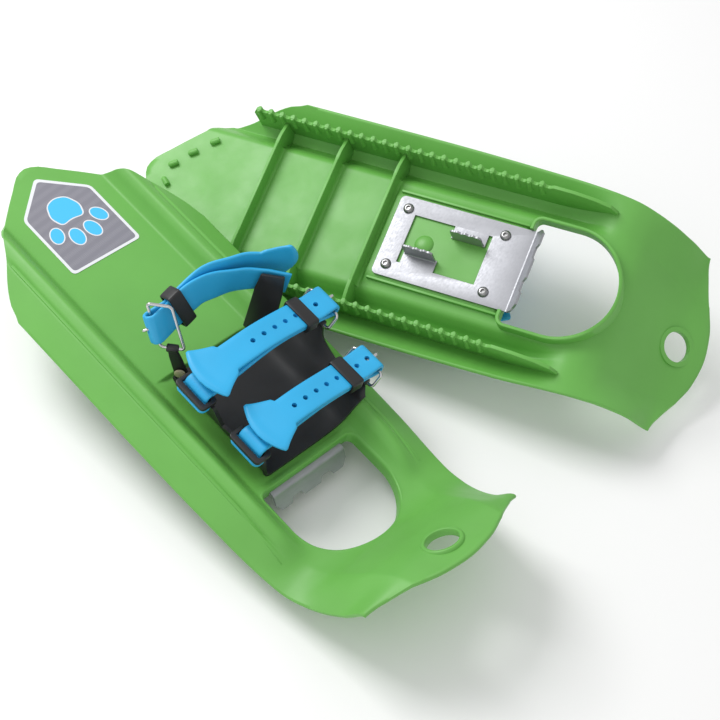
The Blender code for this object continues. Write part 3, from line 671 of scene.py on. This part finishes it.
def deck_rows(section_x):
    """Where the points of one lengthwise line lie, closest round the recess and the upturned toe."""
    toe_x = section_x * 41 / CREST_X
    if section_x > CREST_X:
        toe_x = 41 + (section_x - CREST_X) / (LIP_X - CREST_X) * 32
    end = along(TOE_LINE, toe_x)
    stations = [(along(TAIL_LINE, section_x), 20), (TAIL_JOIN, 12), (172, 8), (177, 18), (281, 8), (288, 13),
                (TOE_JOIN, 34), (end, 0)]
    return sampled(stations)


def section_samples():
    """Where the lengthwise lines start across the deck, closest at its ridge and groove."""
    return sampled([(0, 6), (30, 8), (44, 18), (63, 12), (70, 9), (LIP_X, 0)])


def deck_shell():
    """The moulded sheet: upper face, lower face and a rounded rim."""
    samples = section_samples()
    places = [-x for x in reversed(samples[1:])] + samples
    lines = []
    for place in places:
        rows = [(y, *plain_point(abs(place), y)) for y in deck_rows(abs(place))]
        lines.append([(-x if place < 0 else x, y, z) for y, x, z in rows])
    recess = np.array([[recess_depth(x, y) for x, y, z in line] for line in lines])
    groove = np.array([[groove_depth(abs(place), y) for x, y, z in line]
                       for place, line in zip(places, lines)])
    top = np.array(lines)
    across, length, normal = grid_directions(top)
    bottom = top - DECK_WALL * normal
    top[..., 2] -= recess + groove
    bottom[..., 2] -= recess
    inwards = np.zeros_like(top)
    inwards[0] += across[0]
    inwards[-1] -= across[-1]
    inwards[:, 0] += length[:, 0]
    inwards[:, -1] -= length[:, -1]
    inwards *= EDGE_ROUND
    return closed_sheet(top + inwards, bottom + inwards, [(0.2, 0.7), (0.5, 1.0), (0.8, 0.7)], inwards)


def toe_hole_outline(grow):
    """The D-shaped toe hole, grown outwards by a distance, anticlockwise from its right side."""
    half = TOE_HOLE_HALF + grow
    reach = TOE_HOLE_FRONT - TOE_HOLE_STRAIGHT + grow
    rear = TOE_HOLE_REAR - grow
    corner = 5.0 + grow
    low, in_from = rear + corner, half - corner
    points = [(half * cos(a), TOE_HOLE_STRAIGHT + reach * sin(a)) for a in sampled([(0, 48), (pi, 0)])]
    points += [(-half, y) for y in steps(TOE_HOLE_STRAIGHT, low, 8)[1:]]
    points += [(-in_from - corner * cos(a), low - corner * sin(a)) for a in steps(0, pi / 2, 6)]
    points += [(x, rear) for x in steps(-in_from, in_from, 16)]
    points += [(in_from + corner * sin(a), low - corner * cos(a)) for a in steps(0, pi / 2, 6)]
    return points + [(half, y) for y in steps(low, TOE_HOLE_STRAIGHT, 8)]


def toe_hole_ring():
    """The wall round the toe hole, with a rolled top edge that follows the deck."""
    deep = -TOE_HOLE_DEEP
    profile = [(0.0, deep + 0.7, 0.4), (0.7, deep, 0.4), (2.3, deep, 0.4), (3.0, deep + 0.7, 0.4),
               (3.0, -2.0, 1.0), (3.2, -0.9, 1.0), (2.6, -0.1, 1.0), (1.8, 0.18, 1.0), (1.0, 0.05, 1.0),
               (0.35, -0.45, 1.0), (0.0, -1.4, 1.0)]
    return swept_ring(toe_hole_outline(0.0), profile, deck_height)


def hang_axis():
    return Matrix.Rotation(radians(HANG_TILT), 3, "X") @ Vector((0, 0, 1))


def hang_ring():
    """The raised rim of the hanging hole."""
    low = -4.6
    rise = [(0, low), (0, 0.2), (0.3, 0.7), (0.9, 0.95), (2.0, 0.9), (2.8, 0.4), (HANG_WALL - 0.2, -0.8),
            (HANG_WALL, -2.0), (HANG_WALL, low), (0, low)]
    profile = [(HANG_RADIUS + out, height) for out, height in rise]
    return turned((0, HANG_Y, HANG_Z), hang_axis(), profile, 48)


def rib_section(y):
    """A rib's cross-section with a fillet at its foot, as (y, z) points."""
    foot, fillet, tall = -2.4, 3.4, 3.8
    wide = RIB_HALF + 0.4
    points = [(y - RIB_HALF + 0.4, RIB_BOTTOM), (y + RIB_HALF - 0.4, RIB_BOTTOM),
              (y + RIB_HALF, RIB_BOTTOM + 0.5)]
    for a in steps(0, pi / 2, 5):
        points.append((y + wide + fillet * (1 - cos(a)), foot - tall * (1 - sin(a))))
    points += [(y + 5.2, foot), (y - 5.2, foot)]
    for a in steps(0, pi / 2, 5):
        points.append((y - wide - fillet * (1 - sin(a)), foot - tall * (1 - cos(a))))
    return points + [(y - RIB_HALF, RIB_BOTTOM + 0.5)]


def ribs():
    parts = []
    for y in RIB_ROWS:
        parts.append(prism(rib_section(y), -46.5, 46.5, "x"))
        for side in (-1, 1):
            gusset = [(side * 45, RIB_BOTTOM), (side * 53, RIB_BOTTOM + 0.4), (side * 65, RIB_BOTTOM + 3.5),
                      (side * 65, 7.5), (side * 58, 9.0), (side * 52, 5.5), (side * 46, -2.0)]
            parts.append(prism(gusset, y - RIB_HALF, y + RIB_HALF, "y"))
    return parts


def fin_teeth():
    return [FIN_FIRST + FIN_TOOTH * i for i in range(FIN_TEETH)]


def fin_outline():
    """One traction fin seen from the side, as (y, z) points."""
    points = [(FIN_START, 8.6), (FIN_START, FIN_BOTTOM + 7), (FIN_START + 2.5, FIN_BOTTOM + 2.5)]
    notch = FIN_BOTTOM + FIN_TOOTH_DEEP
    slope = FIN_BOTTOM + FIN_TOOTH_DEEP * 0.8
    for y in fin_teeth():
        points += [(y - 1.6, FIN_BOTTOM), (y + 1.6, FIN_BOTTOM), (y + 3.0, slope), (y + FIN_TOOTH / 2, notch),
                   (y + FIN_TOOTH - 3.0, slope)]
    end = FIN_FIRST + FIN_TOOTH * FIN_TEETH
    return points + [(end, FIN_BOTTOM + 0.6), (end + 16, FIN_BOTTOM + 1.2), (326, FIN_BOTTOM + 4.0),
                     (338, FIN_BOTTOM + 9), (343, -5.0), (336, 0.5), (322, 4.5), (300, 7.5), (290, 8.5)]


def fins():
    """Both fins, each with a stud on both faces of every tooth."""
    stud = [(0.001, -4.7), (1.2, -4.7), (1.7, -4.1), (1.9, 3), (2.6, 8), (0.001, 8)]
    parts = []
    for x in (-FIN_X, FIN_X):
        parts.append(prism(fin_outline(), x - FIN_HALF, x + FIN_HALF, "x"))
        for y in fin_teeth():
            for side in (-1, 1):
                parts.append(turned((x + side * 1.1, y, FIN_BOTTOM + 5), (0, 0, 1), stud, 10))
    return parts


def cleats():
    """Small rounded cleats under the tail's edge."""
    parts = []
    for x, y in CLEATS:
        way = Vector((0.62 if x < 0 else -0.62, -0.78, 0))
        low = Vector((x, y + 6, -4.8))
        parts.append(tube([low - way * 4.2, low, low + way * 4.2], 2.3, 12, False, True))
    return parts


def pads():
    """Rails beside the crampon plate and the boss inside its cut-out."""
    parts = []
    for x in (-37.4, 37.4):
        rail = [(x - 1.1, -4.0), (x - 0.8, -7.4), (x + 0.8, -7.4), (x + 1.1, -4.0)]
        parts.append(prism(rail, 178, 284, "y"))
    dome = [(0.001, -2.2), (3.0, -2.0), (5.5, -1.3), (7.3, -0.2), (7.9, 1.0), (7.9, 2.0), (0.001, 2.0)]
    parts.append(turned((0, 211, -6.2), (0, 0, 1), dome, 40))
    return parts


def add_deck(shoe):
    looks, slot = [GREEN], "deck_plastic"
    toe_cut = prism(toe_hole_outline(1.2), -40, 60)
    hang_cut = rounded_rod((0, HANG_Y, HANG_Z), hang_axis(), HANG_RADIUS + 1.6, 30, 40)
    shoe.piece("shell", [deck_shell()], looks, "deck", cut=[toe_cut, hang_cut], sharp=50, slot=slot)
    half, rear = PLATE_HALF + 0.4, TOE_HOLE_REAR - TOE_HOLE_WALL - 2.7
    plate_room = prism([(-half, rear), (half, rear), (half, 300), (-half, 300)], -30, PLATE_TOP + 0.3)
    shoe.piece("toe_hole_rim", [toe_hole_ring()], looks, "deck", cut=[plate_room], sharp=40, slot=slot)
    parts = [hang_ring(), *ribs(), *fins(), *cleats(), *pads()]
    shoe.piece("ribs_and_fins", parts, looks, "deck", bevel=0.45, sharp=40, slot=slot)


# ---------------------------------------------------------------- crampon plate


def z_cut_outline():
    """The opening that the two upturned teeth leave, with a relief slot at one end of each."""
    return [(20, 199), (10.5, 199), (10.5, 226.5), (20.5, 226.5), (20.5, 260), (-20.5, 260), (-20.5, 257),
            (-10.5, 257), (-10.5, 229.5), (-20.5, 229.5), (-20.5, 196), (20, 196)]


def bent_strip(base, way, height, places, thick, bend, lean=0.0):
    """A strip that leaves the plate's upper face, bends down with a radius and ends in a shaped tip.

    places lie along the bend line, base gives their points and height how far the strip drops there.
    lean is how far its straight part goes outwards for each unit that it drops."""
    points, faces = [], []
    rows, bend_rows = 10, 4
    turn = pi / 2 - atan(lean)
    way, down = Vector(way), Vector((0, 0, -1))
    for place in places:
        straight = (height(place) - (bend + thick) * (1 - cos(turn))) / sin(turn)
        for radius in (bend + thick, bend):
            for k in range(rows + 1):
                angle = turn * min(k / bend_rows, 1.0)
                run = straight * max(k - bend_rows, 0) / (rows - bend_rows)
                out = radius * sin(angle) + run * cos(turn)
                drop = bend + thick - radius * cos(angle) + run * sin(turn)
                points.append(tuple(Vector(base(place)) + way * out + down * drop))
    n = rows + 1
    last = 2 * n * (len(places) - 1)
    for one in range(0, last, 2 * n):
        two = one + 2 * n
        for k in range(rows):
            faces.append([one + k, one + k + 1, two + k + 1, two + k])
            faces.append([one + n + k, two + n + k, two + n + k + 1, one + n + k + 1])
        faces.append([one, two, two + n, one + n])
        faces.append([one + rows, one + n + rows, two + n + rows, two + rows])
    for start in (0, last):
        faces += [[start + k, start + n + k, start + n + k + 1, start + k + 1] for k in range(rows)]
    return points, faces


def tooth_height(y0, y1):
    """How tall an upturned tooth is along y: rounded corners and a wavy tip."""
    def height(y):
        inside = min(y - y0, y1 - y)
        corner = 2.6 * (1 - ramp(inside, 0, 4.0)) ** 2
        wave = 1.3 * (0.5 - 0.5 * cos(2 * pi * (y - y0) / 6.2)) * ramp(inside, 1.5, 4.5)
        return PLATE_TOOTH_TALL + PLATE_THICK - corner - wave
    return height


def flange_height(x):
    """The front flange: teeth with sloping sides and rounded outer corners."""
    notch = smooth(abs(x), 7.5, 10.5) * smooth(20.5 - abs(x), 0, 3)
    corner = smooth(abs(x), 29, PLATE_HALF)
    return PLATE_TOP - PLATE_TOOTH_TIP - 3.8 * notch - 5.0 * corner


def add_crampon(shoe):
    low, high = PLATE_TOP - PLATE_THICK, PLATE_TOP
    middle = (PLATE_REAR + PLATE_FRONT) / 2
    front = PLATE_FRONT - PLATE_BEND - PLATE_THICK
    corners = rounded_rectangle(PLATE_HALF, (PLATE_FRONT - PLATE_REAR) / 2, 4.0)
    sheet = prism([(x, min(y + middle, front)) for x, y in corners], low, high)
    opening = prism(z_cut_outline(), low - 3, high + 3)
    shoe.piece("plate", [sheet], [PLATE], "crampon_plate", cut=[opening], bevel=0.25)
    flange_places = sampled([(-PLATE_HALF, 80), (PLATE_HALF, 0)])
    parts = [bent_strip(lambda x: (x, front, high), (0, 1, 0), flange_height, flange_places, PLATE_THICK,
                        PLATE_BEND, PLATE_LEAN)]
    for x, y0, y1, way in ((13.2, 200, 225, -1), (-13.2, 231, 256, 1)):
        parts.append(bent_strip(lambda y, x=x: (x, y, high), (way, 0, 0), tooth_height(y0, y1),
                                sampled([(y0, 50), (y1, 0)]), PLATE_THICK * 0.9, 1.6))
    shoe.piece("plate_teeth", parts, [PLATE], "crampon_plate", sharp=30)
    for end, y in SCREW_ROWS.items():
        for x, hand in ((-SCREW_X, "outer"), (SCREW_X, "inner")):
            add_screw(shoe, f"{end}_{hand}", x, y, low - 0.1)


def add_screw(shoe, label, x, y, top):
    """A button-head screw with a hexagon socket, upside down under the plate."""
    tall, wide = SCREW_TALL, SCREW_RADIUS
    profile = [(0.001, 0), (wide, 0), (wide, 0.5), (wide - 0.3, 1.1), (wide - 1.0, 1.8), (wide - 1.7, tall),
               (0.001, tall)]
    head = turned((x, y, top), (0, 0, -1), profile, 40)
    socket = prism([(x + a, y + b) for a, b in circle(1.9, 6)], top - tall - 1, top - 0.7)
    shoe.piece(f"screw_head_{label}", [head], [SCREW], f"screw_{label}", cut=[socket], sharp=32)


# ---------------------------------------------------------------- cradle


def cradle_section(y):
    """Upper face of the cradle at one y, from its near edge to its far edge."""
    near = Vector((along(NEAR_X_ALONG, y), y, along(NEAR_Z_ALONG, y)))
    far = Vector((along(FAR_X_ALONG, y), y, along(FAR_Z_ALONG, y)))
    foot, wing_foot = Vector((28.6, y, 0.8)), Vector((-58.0, y, 18.2))
    wall = [near.lerp(foot, t) for t in (0, 0.06, 0.3, 0.6, 0.9)]
    wing = [wing_foot.lerp(far, t) for t in (0, 0.35, 0.7, 0.95, 1.0)]
    return [tuple(p) for p in [*wall, *[(x, y, z) for x, z in CRADLE_FLOOR], *wing]]


def thick_sheet(rows, wall):
    """A sheet through rows of points, with a wall thickness under it."""
    top = np.array(rows)
    normal = grid_directions(top)[2]
    if normal[..., 2].mean() < 0:
        normal = -normal
    return closed_sheet(top, top - wall * normal)


def frame_loop(x, y, z):
    """The loop that a front strap's end drops through."""
    outer = rounded_rectangle(7.2, STRAP_WIDE / 2 + 3.9, 3.0)
    inner = rounded_rectangle(2.7, STRAP_WIDE / 2 + 0.8, 1.0)
    low, high = z - 4.9, z - 1.7
    rings = [(outer, low), (outer, high), (inner, high), (inner, low)]
    return skin([[(a + x, b + y, height) for a, b in outline] for outline, height in rings], closed=True)


def ear(corners, wall):
    """A slab with a rounded top between four corners: two at its foot and two at its top."""
    a, b, c, d = [Vector(p) for p in corners]
    out = (c - a).cross(d - b).normalized() * wall
    rings = []
    for share in sampled([(0, 8), (1, 0)]):
        left, right = a.lerp(d, share), b.lerp(c, share)
        squeeze = 0.08 * smooth(share, 0.75, 1.0)
        left, right = left.lerp(right, squeeze), right.lerp(left, squeeze)
        rings.append([left, right, right + out, left + out])
    return skin(rings)


def add_cradle(shoe):
    rows = [cradle_section(y) for y in sampled([(CRADLE_FROM, 51), (CRADLE_TO, 0)])]
    shoe.piece("cradle", [thick_sheet(rows, CRADLE_WALL)], [BLACK], "binding_base", bevel=0.5, levels=1,
               sharp=60)
    parts = []
    for data in FRONT_STRAPS.values():
        x, z = data["anchor"]
        parts.append(frame_loop(x, data["y"], z))
        hx, hz = data["hinge_bar"]
        parts.append(rounded_rod((hx, data["y"], hz), (0, 1, 0), BAR_RADIUS, 21, 24, 0.8))
    foot, inner_foot = Vector(HEEL_RING_FOOT), Vector(HEEL_RING_HEEL_SIDE)
    reach = (inner_foot - foot).normalized()
    bar_long = reach.dot(inner_foot - foot) - 8.2
    parts.append(ear([(26.5, 176.6, -1.0), (19.0, 184.5, -1.0), inner_foot - reach * 4.6, foot + reach * 4.6],
                     EAR_WALL))
    parts.append(rounded_rod((foot + inner_foot) / 2, reach, BAR_RADIUS, bar_long, 24, 0.8))
    parts.append(ear([(-42.5, 172.0, 1.2), (-43, 199, 1.2), (-61.2, 185.4, 59), (-47.4, 171.2, 59)],
                     EAR_WALL))
    shoe.piece("cradle_ears", parts, [BLACK], "binding_base", bevel=0.6, sharp=45)
    profile = [(0.001, 0.8), (RIVET_RADIUS - 1.2, 0.75), (RIVET_RADIUS - 0.3, 0.35), (RIVET_RADIUS, -0.2),
               (RIVET_RADIUS, -0.8), (0.001, -0.8)]
    shoe.piece("rivet", [turned(RIVET_AT, RIVET_AXIS, profile, 36)], [BEIGE], "side_rivet")


# ---------------------------------------------------------------- straps


def measured(path):
    """The distance along a path at each of its points."""
    total = [0.0]
    for a, b in zip(path, path[1:]):
        total.append(total[-1] + (b - a).length)
    return total


def point_at(path, distances, where):
    """The point and direction of a path at a distance along it."""
    for a, b, start, end in zip(path, path[1:], distances, distances[1:]):
        if where <= end:
            return a + (b - a) * ((where - start) / (end - start)), (b - a).normalized()


def tabbed_band(path, sides, neck, wide):
    """A strap that ends in an axe-shaped tab, neck long, and the distances along its path."""
    lengths = measured(path)
    length = lengths[-1]
    step = 5.0
    widths, thicks = [], []
    for s in lengths:
        t = s - (length - neck)
        flare = step * smooth(t, 0, 2.0) + (wide - STRAP_WIDE - step) * ramp(t, 1.0, neck - 4)
        widths.append(STRAP_WIDE + (flare if t >= 0 else 0))
        thicks.append(STRAP_THICK * (1 + 0.35 * smooth(s, length - 9, length - 3)))

    def bulge(i, v):
        t = ramp(lengths[i], length - neck, length)
        return -7.0 * t * t * v * v
    return ribbon(path, sides, widths, thicks, bulge), lengths


def plain_band(path, sides):
    """A strap of even width and thickness."""
    return ribbon(path, sides, [STRAP_WIDE] * len(path), [STRAP_THICK] * len(path))


def band_hole(path, lengths, where, side, long):
    """A round cutter through a strap at a distance along it."""
    at, tangent = point_at(path, lengths, where)
    return rounded_rod(at, tangent.cross(side), HOLE_RADIUS, long, 20, 0.01)


def half_turn(center, way, up, start):
    """The strap's turn round a ring's bar: half a circle from one layer to the other."""
    angles = sampled([(start, 14), (start + pi, 0)])
    return [center + (way * cos(a) + up * sin(a)) * FOLD_RADIUS for a in angles]


def add_ring(shoe, name, start, span, side, half):
    """A wire ring from start along span, with its half width along side."""
    way = span.normalized()
    corners = rounded_rectangle(span.length / 2, half, 2.6, 8)
    loop = [start + span / 2 + way * a + side * b for a, b in corners]
    shoe.piece(f"{name}_wire", [tube(loop, WIRE_RADIUS, 16, True)], [WIRE], f"{name}_ring", moves=True)


def add_front_strap(shoe, name, data):
    """A strap from its loop over the foot, round the ring's bar and back over itself to its tab."""
    y = data["y"]
    near, far, bar, lift, tab = (Vector((data[key][0], y, data[key][1]))
                                 for key in ("near", "far", "bar", "lift", "tab"))
    side = Vector((0, 1, 0))
    way = (near - far).normalized()
    up = Vector((-way.z, 0, way.x))
    layer = up * -(STRAP_THICK + LAYER_GAP)
    fold = half_turn(bar, way, up, pi / 2)
    pin_slot = rounded_rod(bar - way * 6.2 + up, way - up * 0.45, 2.2, 8, 20, 0.01)

    upper = fold[8::-1] + smooth_path([far + way, near, lift, tab], 1.6)
    band, lengths = tabbed_band(upper, [side] * len(upper), 26.0, 44.0)
    places = [data["first_hole"] + HOLE_PITCH * number for number in range(data["holes"])]
    holes = [band_hole(upper, lengths, where, side, 9) for where in places]
    turn = near + up * STRAP_THICK / 2
    shoe.piece(f"{name}_band", [band], [BLUE], f"{name}_strap_end", moves=True, cut=[*holes, pin_slot],
               sharp=42, ends=(turn - way * 8, turn + way * 12))

    ax, az = data["anchor"]
    bend = [(-12, 1.5), (-4, 1.3), (-0.4, -1.2), (0, -5), (0, -7.5)]
    drop = [Vector((ax + x, y, az + z)) for x, z in bend]
    lower = fold[8:] + smooth_path([far + layer * 1.02, near + layer * 1.15, *drop], 1.8)
    hole = rounded_rod((ax - 9.0, y, az + 1.5), (0, 0, 1), HOLE_RADIUS, 9, 20, 0.01)
    shoe.piece(f"{name}_band_under", [plain_band(lower, [side] * len(lower))], [BLUE], f"{name}_strap",
               cut=[hole, pin_slot], sharp=42)
    stop = [(a + ax + 1.5, b + y) for a, b in rounded_rectangle(5.2, STRAP_WIDE / 2 + 3, 4.0)]
    shoe.piece(f"{name}_band_stop", [prism(stop, az - 9.7, az - 7.0)], [BLUE], f"{name}_strap", bevel=0.7)

    hinge = Vector((data["hinge_bar"][0], y, data["hinge_bar"][1]))
    add_ring(shoe, name, hinge, bar - hinge, side, RING_HALF)
    add_prong(shoe, name, bar, side, bar - way * 8.5 + up * 3.0)
    add_keeper(shoe, name, far + way * (KEEPER_LONG / 2 + 7.0) + layer / 2, way, up, side, KEEPER_GAP)


def add_prong(shoe, name, center, axis, tip):
    """The prong: an eye round the ring's bar and a pin up to its tip."""
    hole = WIRE_RADIUS + 0.35
    profile = [(hole, -1.7), (PRONG_EYE - 0.2, -1.7), (PRONG_EYE, -1.4), (PRONG_EYE, 1.4),
               (PRONG_EYE - 0.2, 1.7), (hole, 1.7), (hole, -1.7)]
    start = center + (tip - center).normalized() * 1.8
    pin = tube([start, (start + tip) / 2, tip], 1.15, 16, False, True)
    shoe.piece(f"{name}_pin", [turned(center, axis, profile, 24), pin], [WIRE], f"{name}_prong", moves=True)


def add_keeper(shoe, name, center, way, up, side, gap):
    """A black band round both layers, its outer faces slightly crowned."""
    half_up = STRAP_THICK + LAYER_GAP / 2 + gap
    half_side = STRAP_WIDE / 2 + gap
    inner = rounded_rectangle(half_side, half_up, 0.8, 4)
    outer = rounded_rectangle(half_side + KEEPER_WALL, half_up + KEEPER_WALL, 1.9, 4)
    outlines = []
    for share, grow in KEEPER_CROWN:
        wide = 1 + grow / half_side
        outlines.append((share, [(a * wide, b + (grow if b > 0 else -grow)) for a, b in outer]))
    outlines += [(0.5, inner), (-0.5, inner)]
    rings = [[center + way * KEEPER_LONG * share + side * a + up * b for a, b in outline]
             for share, outline in outlines]
    shoe.piece(f"{name}_slider", [skin(rings, closed=True)], [KEEPER_BLACK], f"{name}_keeper",
               moves=True, sharp=40)


def resampled(points, sides, spacing):
    """A smooth path with its width directions carried along it."""
    path = smooth_path(points, spacing)
    made = []
    for here in path:
        total = Vector()
        for point, side in zip(points, sides):
            total += side / max((here - point).length, 0.01) ** 2
        made.append(total.normalized())
    return path, made


def rearwards(way):
    """A direction, turned round if it points to the toe."""
    return -way if way.y > 0 else way


def add_heel_strap(shoe):
    """The heel strap, from the far ear round the heel, over its ring's bar and back to its tab."""
    lean = Vector(HEEL_RING_LEAN[shoe.name]).normalized()
    foot, inner_foot = Vector(HEEL_RING_FOOT), Vector(HEEL_RING_HEEL_SIDE)
    center = foot + lean * (HEEL_RING_TALL * HEEL_FOLD_SHARE)
    line = [Vector(point) for point, side in HEEL_LINES[shoe.name]]
    sides = [Vector(side).normalized() for point, side in HEEL_LINES[shoe.name]]
    ahead = center - line[-1]
    ahead = (ahead - lean * ahead.dot(lean)).normalized()
    out = rearwards(lean.cross(ahead))
    run = (line[-1] - line[-2]).normalized()
    run_out = rearwards(sides[-1].cross(run).normalized())
    layer = STRAP_THICK + LAYER_GAP
    fold = half_turn(center, ahead, out, -pi / 2)
    pin_slot = rounded_rod(center + ahead * 4.2 + out * 2.0, ahead + out * 0.45, 2.4, 9, 20, 0.01)

    inner, inner_sides = resampled(line, sides, 2.0)
    inner += fold[:8]
    inner_sides += [lean] * 8
    shoe.piece("heel_band_under", [plain_band(inner, inner_sides)], [BLUE], "heel_strap", cut=[pin_slot],
               sharp=42)

    ends = HEEL_ENDS[shoe.name]
    outer = [line[-1] + run_out * layer, line[-2] + run_out * (layer + 0.4)]
    outer += [Vector(point) for point, side in ends]
    outer_sides = [sides[-1], sides[-2]] + [Vector(side).normalized() for point, side in ends]
    outer, outer_sides = resampled(outer, outer_sides, 1.8)
    outer = fold[7:] + outer
    outer_sides = [lean] * len(fold[7:]) + outer_sides
    band, lengths = tabbed_band(outer, outer_sides, 28.0, 36.0)
    holes = []
    for number in range(6):
        where = 9.0 + HOLE_PITCH * number
        at = point_at(outer, lengths, where)[0]
        side = min(zip(outer, outer_sides), key=lambda pair: (pair[0] - at).length)[1]
        holes.append(band_hole(outer, lengths, where, side, 5))
    turn = line[-2] + run_out * (layer + 0.9 + STRAP_THICK / 2) - run * 2.4
    shoe.piece("heel_band", [band], [BLUE], "heel_strap_end", moves=True, cut=[pin_slot, *holes],
               sharp=42, ends=(turn + run * 4, turn - run * 16))

    add_ring(shoe, "heel", foot + lean * HEEL_RING_TALL / 2, inner_foot - foot, lean, HEEL_RING_TALL / 2)
    add_prong(shoe, "heel", center, lean, center + ahead * 8.0 + out * 3.5)
    add_keeper(shoe, "heel", (line[-1] + line[-2]) / 2 + run_out * layer / 2, run, run_out,
               run.cross(run_out).normalized(), HEEL_KEEPER_GAP)


# ---------------------------------------------------------------- decal


def rounded_outline(corners, radius):
    """A polygon with its corners rounded."""
    corners = [Vector(corner) for corner in corners]
    points = []
    for before, here, after in zip(corners[-1:] + corners, corners, corners[1:] + corners[:1]):
        start = here + (before - here).normalized() * radius
        end = here + (after - here).normalized() * radius
        for t in sampled([(0, 6), (1, 0)]):
            points.append(tuple(start * (1 - t) ** 2 + here * 2 * t * (1 - t) + end * t * t))
    return points


def oval(x, y, half_x, half_y, turn):
    c, s = cos(radians(turn)), sin(radians(turn))
    points = [(a * half_x, b * half_y) for a, b in circle(1.0, 36)]
    return [(x + a * c - b * s, y + a * s + b * c) for a, b in points]


def paw_pad(grow):
    """The print's big pad: a rounded triangle with a flat front."""
    base = [(-13, 3), (-8.5, -8), (0, -11), (8.5, -8), (13, 3), (9.5, 13), (0, 11.0), (-9.5, 13)]
    size = 1 + grow / 12
    return rounded_outline([(x * size, 12 + (y - 1) * size) for x, y in base], 3.5 + grow)


def add_decal(shoe):
    """A generic paw print on a grey field with a pale border: layers with a look each."""
    border = [(0, -24), (31.5, 4.5), (31.5, 65.5), (-31.5, 65.5), (-31.5, 4.5)]
    field = [(0, -20.4), (29.2, 5.6), (29.2, 63.2), (-29.2, 63.2), (-29.2, 5.6)]
    toes = [(-19.5, 30, 4.9, 7.2, 24), (-7.2, 38.5, 5.2, 7.8, 8), (7.2, 38.5, 5.2, 7.8, -8),
            (19.5, 30, 4.9, 7.2, -24)]
    white, grey, blue = 0, 1, 2
    layers = [(rounded_outline(border, 4.0), 0.12, 0.40, white),
              (rounded_outline(field, 3.2), 0.40, 0.46, grey),
              (paw_pad(1.1), 0.46, 0.50, white), (paw_pad(0.0), 0.50, DECAL_TOP, blue)]
    for x, y, half_x, half_y, turn in toes:
        layers.append((oval(x, y, half_x + 0.9, half_y + 0.9, turn), 0.46, 0.50, white))
        layers.append((oval(x, y, half_x, half_y, turn), 0.50, DECAL_TOP, blue))
    parts = [prism(outline, low, high) for outline, low, high, look in layers]
    shoe.piece("decal", parts, [WHITE_PRINT, GREY_PRINT, BLUE_PRINT], "paw_decal", sharp=30,
               look_at=[look for outline, low, high, look in layers], slot="decal_print")


def build_shoe(name):
    shoe = Shoe(name)
    add_deck(shoe)
    add_crampon(shoe)
    add_cradle(shoe)
    for strap, data in FRONT_STRAPS.items():
        add_front_strap(shoe, strap, data)
    add_heel_strap(shoe)
    add_decal(shoe)


# ---------------------------------------------------------------- camera, floor and light


def add_camera():
    camera = bpy.data.objects.new("camera", bpy.data.cameras.new("camera"))
    camera.location = (0.6181, 0.5360, 0.9431)
    camera.rotation_euler = [radians(a) for a in (39.874, -4.857, 135.832)]
    camera.data.lens = 80.08
    camera.data.sensor_width = 36.0
    bpy.context.scene.collection.objects.link(camera)
    bpy.context.scene.camera = camera


def add_area_light(name, place, size, power):
    lamp = bpy.data.lights.new(name, "AREA")
    lamp.size = size
    lamp.energy = power
    made = bpy.data.objects.new(name, lamp)
    made.location = place
    made.rotation_euler = (-Vector(place)).to_track_quat("-Z", "Y").to_euler()
    bpy.context.scene.collection.objects.link(made)


def add_stage():
    bpy.context.scene.view_settings.view_transform = "Standard"
    world = bpy.data.worlds.new("studio")
    world.use_nodes = True
    world.node_tree.nodes["Background"].inputs["Color"].default_value = (1, 1, 1, 1)
    world.node_tree.nodes["Background"].inputs["Strength"].default_value = 0.66
    bpy.context.scene.world = world
    data = bpy.data.meshes.new("floor")
    data.from_pydata([(-4, -4, 0), (4, -4, 0), (4, 4, 0), (-4, 4, 0)], [], [(0, 1, 2, 3)])
    floor = bpy.data.objects.new("floor", data)
    data.materials.append(material("floor_white", (0.93, 0.93, 0.93), 0.0, 0.9))
    bpy.context.scene.collection.objects.link(floor)
    add_area_light("key", (0.35, -1.0, 1.35), 0.8, 19)
    add_area_light("fill", (1.2, 0.9, 1.2), 1.4, 3)


for shoe_name in PLACES:
    build_shoe(shoe_name)
add_camera()
add_stage()
